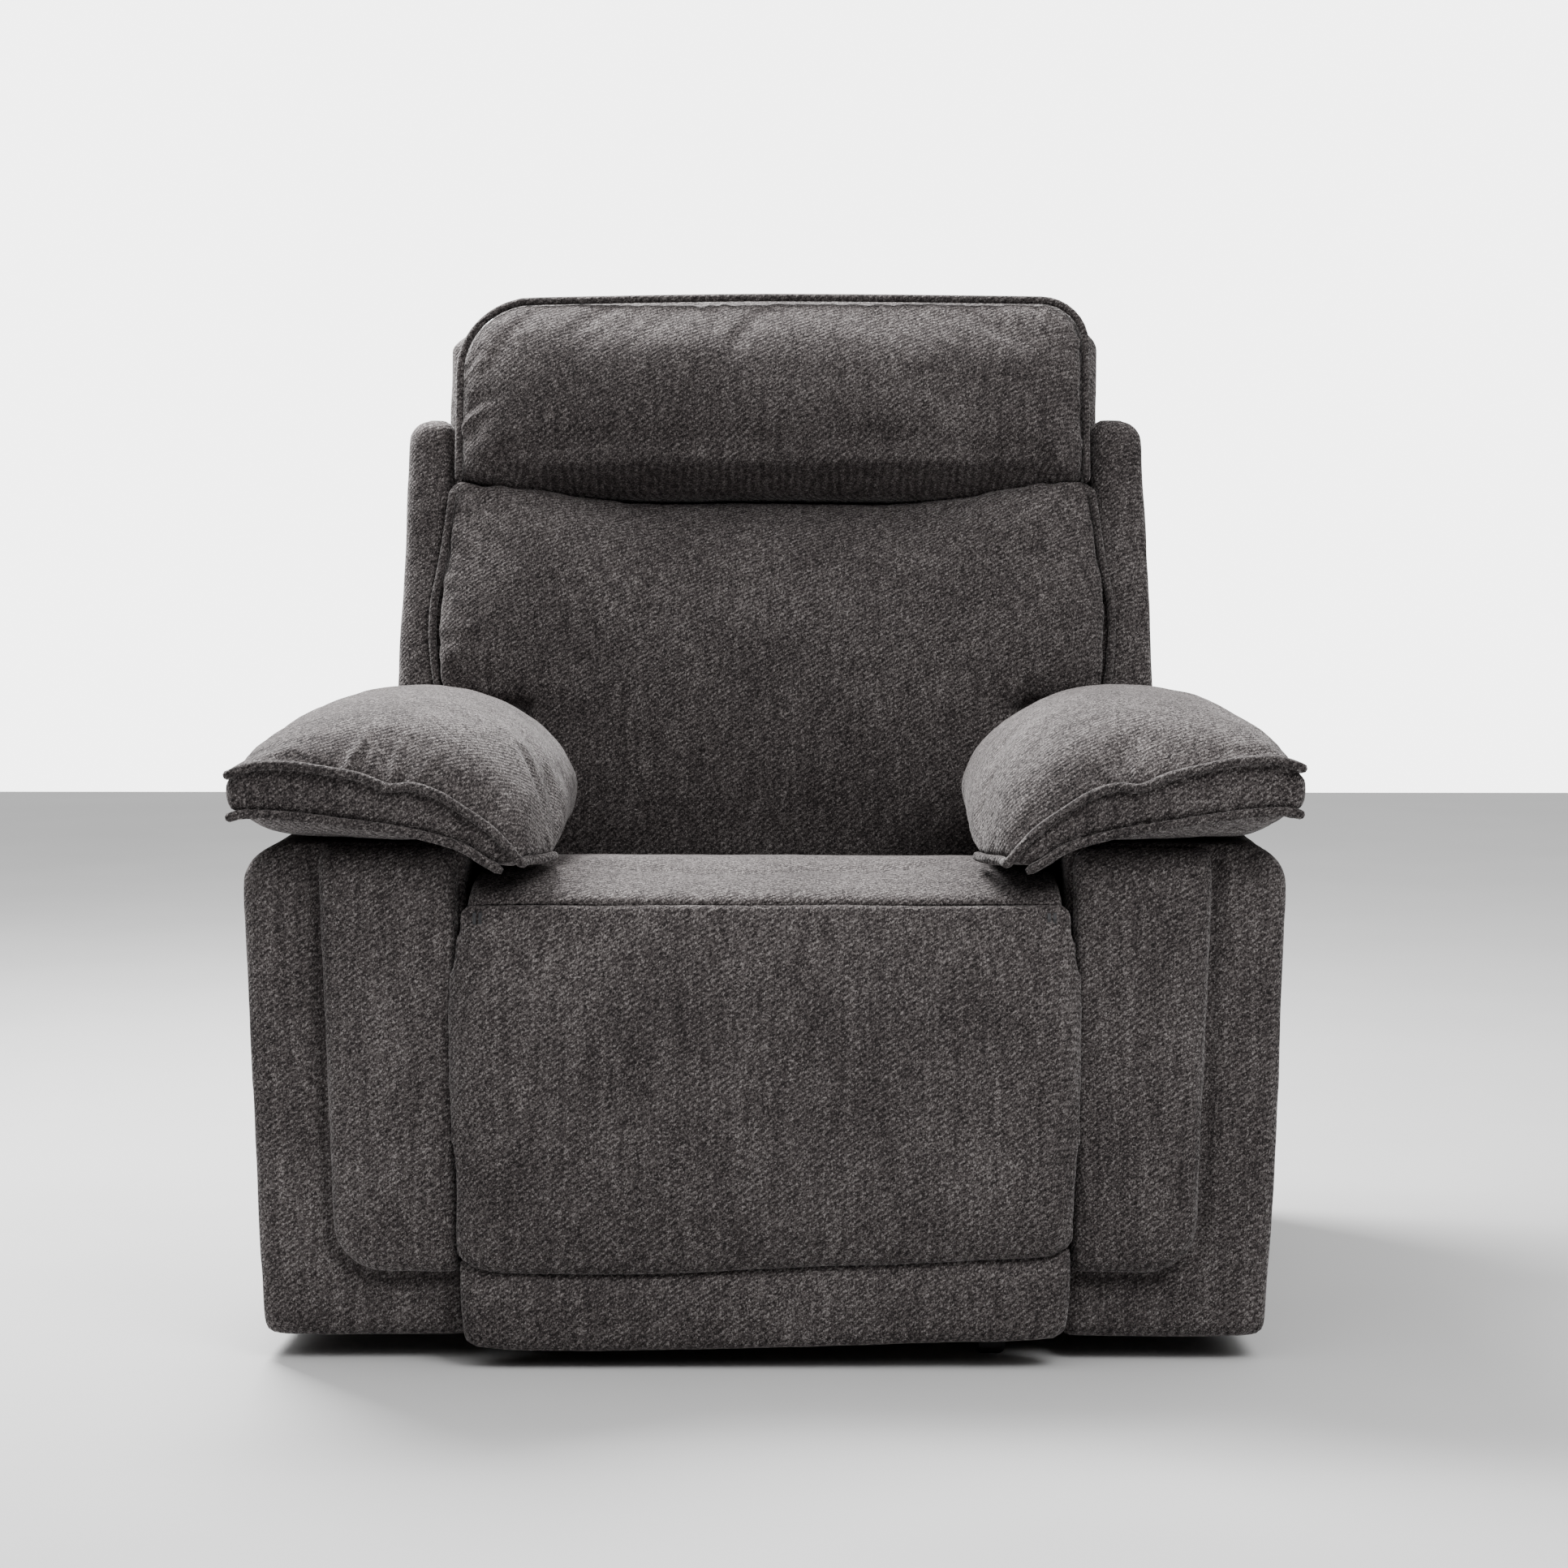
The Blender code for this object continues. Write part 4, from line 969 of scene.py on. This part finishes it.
def head_cushion(fabric, piping):
    """The head roll: a deep pad that curls under at the pleat, and a boxing that runs back over the frame."""
    outline = np.array(head_outline())
    low, high = outline[:, 1].min(), outline[:, 1].max()
    middle_w, half_w = (low + high) / 2, (high - low) / 2
    front, crease, rear = -0.1790, HEAD_BOXING[0][0], 0.115

    def curl_under(v):
        return 0.140 * (1 - math.sqrt(max(0.0, 1 - ((v - crease) / (front - crease)) ** 1.5)))

    rings = []
    for v, side_in, top_in, bottom_in in [(*row, curl_under(row[0])) for row in HEAD_FACE] + [*HEAD_BOXING]:
        ring = []
        for x, w in outline:
            part = (w - middle_w) / half_w
            curl = 1 - 0.88 * flush(x) ** 1.5
            inward = -top_in * max(0.0, part) if part > 0 else bottom_in * curl * -part
            reach = (v - SIDE_SEAM_V) / (rear - SIDE_SEAM_V)
            rise = 0.017 * math.sin(math.pi * unit(reach)) * max(0.0, (part - 0.45) / 0.55)
            sag = pleat_sag(x) * max(0.0, -part)
            lift = inward + rise + PLEAT_RISE * max(0.0, -part) - sag
            ring.append((x * (1 - side_in / HEAD_HALF), v, w + lift))
        rings.append(lean(ring))
    rounds = [p for p in head_outline() if p[1] > 0.60]
    right = sorted([p for p in rounds if p[0] > 0], key=lambda p: (round(p[1], 5), -p[0]))
    left = sorted([p for p in rounds if p[0] < 0], key=lambda p: (-round(p[1], 5), -p[0]))
    line = [(HEAD_HALF, w) for w in (0.478, 0.510, 0.555, 0.595)] + right
    line += [(x, HEAD_SEAM_W - head_droop(x)) for x in (0.22, 0.14, 0.06, -0.02, -0.10, -0.18)] + left
    line += [(-HEAD_HALF, w) for w in (0.580, 0.550, 0.510, 0.478)]
    seam = lean([(x, SIDE_SEAM_V, w) for x, w in line])

    def hold(x, y, z):
        return 0.9 if abs(x) > 0.340 and y > 0.17 else 0.0

    shape = loft(rings)
    obj = start_soft("head_cushion_cover", shape, (seam,), hold, swell=0.010, grow=0.02, even=3, fine=True)

    def complete():
        # the boxing stays outside the ends of the back's top rail, with a soft shoulder round that place
        rail_end = 0.3655
        points = coords(obj)
        x = points[:, 0]
        v, w = across_and_up(points)
        behind, below = unit((v + 0.080) / 0.036), unit((0.690 - w) / 0.036)
        over_rail = (behind * below) ** 2 * (3 - 2 * behind) * (3 - 2 * below)
        over_rail *= unit((abs(x) - 0.29) / 0.04)
        x += over_rail * (np.sign(x) * np.maximum(abs(x), rail_end) - x)
        set_coords(obj, points)
        sew(obj, [seam], 0.004, 0.006, 0.0030, 0.035, seed=9.0)
        for start, end, height in HEAD_PULLS:
            pull(obj, back_point(*start), back_point(*end), height=height, width=0.006)
        ripple(obj, 0.0024, 0.10, 0.0006, 0.03, seed=61)
        finish_piece(obj, "back", fabric, "head_cushion")
        path = [p + Vector((math.copysign(0.0015, p.x), -0.0012, 0.0)) for p in seam]
        welt("head_cushion_welt", path, "back", piping, 0.0044)

    return complete


def wing_outer(side, v, w):
    """How far out the wing reaches: wider towards its rear and its foot."""
    front = 0.4015 if side < 0 else 0.4085
    rear = 0.4195
    return front + (rear - front) * (v + 0.14) / 0.25 + 0.010 * (0.55 - w) / 0.35


def back_wing(name, side, fabric):
    """The padded side of the back, rounded at the top, with its foot cut clear of the arm."""
    front, rear = -0.140, 0.1000
    inner, top, swing = 0.3515, 0.5535, 0.2415

    def foot(v):
        if v < -0.006:
            return float(np.interp(v, (-0.139, -0.050, -0.006), (0.163, 0.209, swing)))
        return math.sqrt(swing**2 - v * v)

    def ring_at(v, inset):
        base = foot(min(max(v, front), rear))
        corners = ((inner, base), *[(wing_outer(side, v, w), w) for w in (base, top)], (inner, top))
        outline = fillet([(side * x, w) for x, w in corners], (0.006, 0.012, 0.024, 0.010), 6)
        return lean([(x, v, w) for x, w in inset_outline(outline, inset)])

    stations = rounded_ends(front, rear, 0.014)
    middle = [(v, 0.0) for v in np.linspace(front + 0.03, rear - 0.03, 9)]
    stations = stations[:6] + middle + stations[6:]
    shape = loft([ring_at(v, inset) for v, inset in stations])
    obj = remesh(mesh_object("back_wing_cover_" + name, *shape), 0.0055)
    relax(obj, 4)
    points, facing = coords(obj), normals(obj)
    spread = unit((abs(points[:, 0]) - 0.35) / 0.055)
    points[:, 1] -= 0.006 * unit(-facing[:, 1]) ** 2 * np.sin(np.pi * spread)
    set_coords(obj, points)
    ripple(obj, 0.0022, 0.09, 0.0006, 0.03, seed=71 + side)
    finish_piece(obj, "back", fabric, "back_wing_" + name)


def outside_back(fabric, piping):
    """The padded outside back, sewn on with a welt round its edge."""
    narrow, wide, head = 0.2765, 0.4180, 0.3560
    notch, shoulder, top, bottom = 0.2240, 0.5490, 0.6830, -0.0600
    corners = (
        (-narrow, bottom), (narrow, bottom), (narrow, notch), (wide, notch), (wide, shoulder),
        (head, shoulder), (head, top), (-head, top), (-head, shoulder),
        (-wide, shoulder), (-wide, notch), (-narrow, notch),
    )
    radii = (0.016, 0.016, 0.010, 0.014, 0.024, 0.010, 0.036, 0.046, 0.010, 0.024, 0.014, 0.010)
    outline = fillet(corners, radii, 6)
    front, rear = 0.0990, 0.1300
    stations = [(front, 0.0), (front + 0.010, 0.0), (front + 0.017, 0.002), (front + 0.023, 0.006)]
    stations += [(front + 0.028, 0.014), (rear, 0.026)]
    obj = remesh(mesh_object("outside_back_cover", *block(outline, stations, back_point)), 0.0065)
    relax(obj, 4)
    points = coords(obj)
    x, y, z = points.T
    high = (z - z.min()) / np.ptp(z)
    crown = np.cos(np.clip(x / 0.42, -1, 1) * np.pi / 2) ** 0.6 * np.sin(np.pi * high) ** 0.6
    y += 0.009 * crown * unit(normals(obj)[:, 1]) ** 2
    set_coords(obj, points)
    ripple(obj, 0.0020, 0.14, 0.0005, 0.03, seed=81)
    finish_piece(obj, "back", fabric, "back_rear_panel")
    edge = [(x, front + 0.0015, w) for x, w in outline if w > notch - 0.002]
    start = max(range(len(edge)), key=lambda i: (edge[i][0] > 0, -edge[i][2], -abs(edge[i][0])))
    edge = edge[start:] + edge[:start]
    dense = []
    for a, b in zip(edge, edge[1:]):
        steps = max(1, int(math.dist(a, b) / 0.02))
        dense += [tuple(np.array(a) + (np.array(b) - np.array(a)) * k / steps) for k in range(steps)]
    welt("outside_back_welt", lean(dense + [edge[-1]]), "back", piping, 0.0042)


def inner_side_cover(name, side, fabric):
    """Closes the back's side between the arms and the underside behind the cushion's shoulder."""
    inner, outer, reach, foot, lip, cover = 0.2630, 0.2795, 0.3505, 0.135, 0.2445, 0.010
    section = ((inner, foot), (outer, foot), (outer, lip), (reach, lip))
    section += ((reach, lip + cover), (inner, lip + cover))
    rings = [lean([(side * x, v, w) for x, w in section]) for v in (-0.0140, 0.0200, 0.0600, 0.0985)]
    obj = mesh_object("back_inner_side_" + name, *loft(rings))
    modifier = obj.modifiers.new("soft_edges", "BEVEL")
    modifier.width = 0.003
    modifier.segments = 2
    bake(obj)
    finish_piece(obj, "back", fabric)


def seat_gusset(lining):
    """The dark cloth between the seat and the back, with spare length for reclining."""
    half, columns = 0.256, 40
    start = Vector((0.0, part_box("seat_cushion")[1].y + 0.0015, 0.424))
    end = back_point(0.0, -0.060, 0.047)
    over_rail = [(0.056, 0.4140), (0.072, 0.4125), (0.090, 0.4125), (0.101, 0.400)]
    behind_rail = [(0.108, 0.382), (0.122, 0.370), (0.138, 0.376), (0.149, 0.390)]
    path = curve_through([start, *[(0.0, y, z) for y, z in over_rail + behind_rail], end], 0.004)
    verts = [(x, p.y, p.z) for p in path for x in np.linspace(-half, half, columns)]
    corners = [j * columns + i for j in range(len(path) - 1) for i in range(columns - 1)]
    faces = [(a, a + 1, a + columns + 1, a + columns) for a in corners]
    obj = mesh_object("seat_gusset", verts, faces)
    obj.data.materials.append(lining)
    obj.data.shade_smooth()
    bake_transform(obj)


def rear_skirt(fabric):
    """The padded panel between the arms at the rear, under the back."""
    low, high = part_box("base_rear_panel")
    corners = ((low.x, low.z), (high.x, low.z), (high.x, high.z), (low.x, high.z))
    shape = block(fillet(corners, (0.006, 0.006, 0.010, 0.010)), rounded_ends(low.y, high.y, 0.006))
    obj = remesh(mesh_object("rear_skirt_cover", *shape), 0.005)
    relax(obj, 2)
    ripple(obj, 0.0010, 0.09, 0.0004, 0.03, seed=91)
    finish_piece(obj, "root", fabric, "base_rear_panel")


def rail_cover(node, half, fabric):
    """The cloth stapled round a front rail, which shows when the footrest is out."""
    low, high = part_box(node)
    cloth = 0.0014
    rear, front = high.y + cloth, low.y - cloth
    bottom, top = low.z - cloth, high.z + cloth
    outline = fillet(((front, bottom), (rear, bottom), (rear, top), (front, top)), (0.003,) * 4, 3)
    stations = rounded_ends(-half, half, 0.002, 2)
    stations = stations[:3] + [(x, 0.0) for x in np.linspace(-half + 0.01, half - 0.01, 50)] + stations[3:]
    obj = mesh_object(node + "_cover", *block(outline, stations, lambda y, x, z: (x, y, z)))
    ripple(obj, 0.0006, 0.06, 0.0003, 0.02, seed=half)
    finish_piece(obj, "root", fabric)


# ---------------- carried-over CAD nodes
def dress_cad(by_slot):
    """Gives each CAD node that stays visible the material of its slot."""
    for entry in record["subparts"]:
        node = frame["nodes"][entry["node"]]
        if node.hide_render or entry["material_slot"] not in by_slot:
            continue
        for slot in node.material_slots:
            slot.material = by_slot[entry["material_slot"]]


# ---------------- stage
def studio():
    """A pale floor, a bright backdrop for the camera over a dimmer dome, and two soft lamps."""
    floor = mesh_object("floor", [(-6, -6, 0), (6, -6, 0), (6, 6, 0), (-6, 6, 0)], [(0, 1, 2, 3)])
    n = Nodes("floor_paint")
    n.paint(n.noise(3.0, 2.0), ((0.3, (0.49, 0.49, 0.49)), (0.7, (0.51, 0.51, 0.51))))
    n.set(Roughness=0.9)
    floor.data.materials.append(n.material)
    world = bpy.data.worlds.new("studio")
    world.use_nodes = True
    nodes, link = world.node_tree.nodes, world.node_tree.links.new
    height = nodes.new("ShaderNodeSeparateXYZ")
    link(nodes.new("ShaderNodeTexCoord").outputs["Generated"], height.inputs["Vector"])
    dome = nodes.new("ShaderNodeMapRange")
    dome.interpolation_type = "SMOOTHSTEP"
    for socket, value in (("From Min", 0.30), ("From Max", 1.0), ("To Min", 0.02), ("To Max", 2.2)):
        dome.inputs[socket].default_value = value
    link(height.outputs["Z"], dome.inputs["Value"])
    strength = nodes.new("ShaderNodeMix")
    strength.inputs["B"].default_value = 5.0
    link(nodes.new("ShaderNodeLightPath").outputs["Is Camera Ray"], strength.inputs["Factor"])
    link(dome.outputs["Result"], strength.inputs["A"])
    link(strength.outputs["Result"], nodes["Background"].inputs["Strength"])
    nodes["Background"].inputs["Color"].default_value = (1.0, 1.0, 1.0, 1.0)
    bpy.context.scene.world = world
    lamps = (
        ("top_light", (-0.9, 1.0, 2.5), (-0.05, -0.10, 0.4), 1.2, 300.0),
        ("front_light", (1.4, -2.4, 3.2), (0.0, -0.2, 0.4), 1.5, 78.0),
    )
    for name, place, target, size, power in lamps:
        data = bpy.data.lights.new(name, "AREA")
        data.shape = "SQUARE"
        data.size = size
        data.energy = power
        lamp = bpy.data.objects.new(name, data)
        lamp.location = place
        lamp.rotation_euler = (Vector(target) - Vector(place)).to_track_quat("-Z", "Y").to_euler()
        bpy.context.scene.collection.objects.link(lamp)


def camera():
    """The photo's camera, fitted to the chair's outline in the photo."""
    data = bpy.data.cameras.new("camera")
    data.sensor_width = 36.0
    data.lens = 88.5
    obj = bpy.data.objects.new("camera", data)
    obj.location = (0.05, -4.09, 0.86)
    obj.rotation_euler = (math.radians(90 - 4.75), 0.0, math.radians(0.5))
    bpy.context.scene.collection.objects.link(obj)
    bpy.context.scene.camera = obj


def build():
    camera()
    studio()
    fabric = chenille("chenille")
    piping = chenille("chenille_piping", 0.8)
    by_slot = {
        "frame_wood": timber("softwood"),
        "mechanism_steel": coated_steel("black_steel", (0.03, 0.03, 0.032), 0.45, 0.6),
        "spring_steel": coated_steel("spring_wire", (0.42, 0.42, 0.43), 0.35, 1.0),
        "black_plastic": moulded_plastic("black_plastic"),
        "webbing": cloth_lining("webbing", (0.018, 0.0175, 0.0175)),
    }
    waiting = []
    for name, side in SIDES:
        arm_cover(name, side, fabric)
        arm_front_pad(name, side, fabric)
        back_wing(name, side, fabric)
        inner_side_cover(name, side, fabric)
        waiting.append(arm_pillow(name, side, fabric, piping))
    waiting += [footrest_pad(fabric), seat(fabric)]
    waiting += [back_cushion(fabric, piping), head_cushion(fabric, piping)]
    kick_pad(fabric)
    outside_back(fabric, piping)
    rear_skirt(fabric)
    rail_cover("seat_front_rail", 0.2590, fabric)
    rail_cover("base_front_rail", 0.2850, fabric)
    seat_gusset(by_slot["webbing"])
    swell_all()
    for complete in waiting:
        complete()
    dress_cad(by_slot)


build()
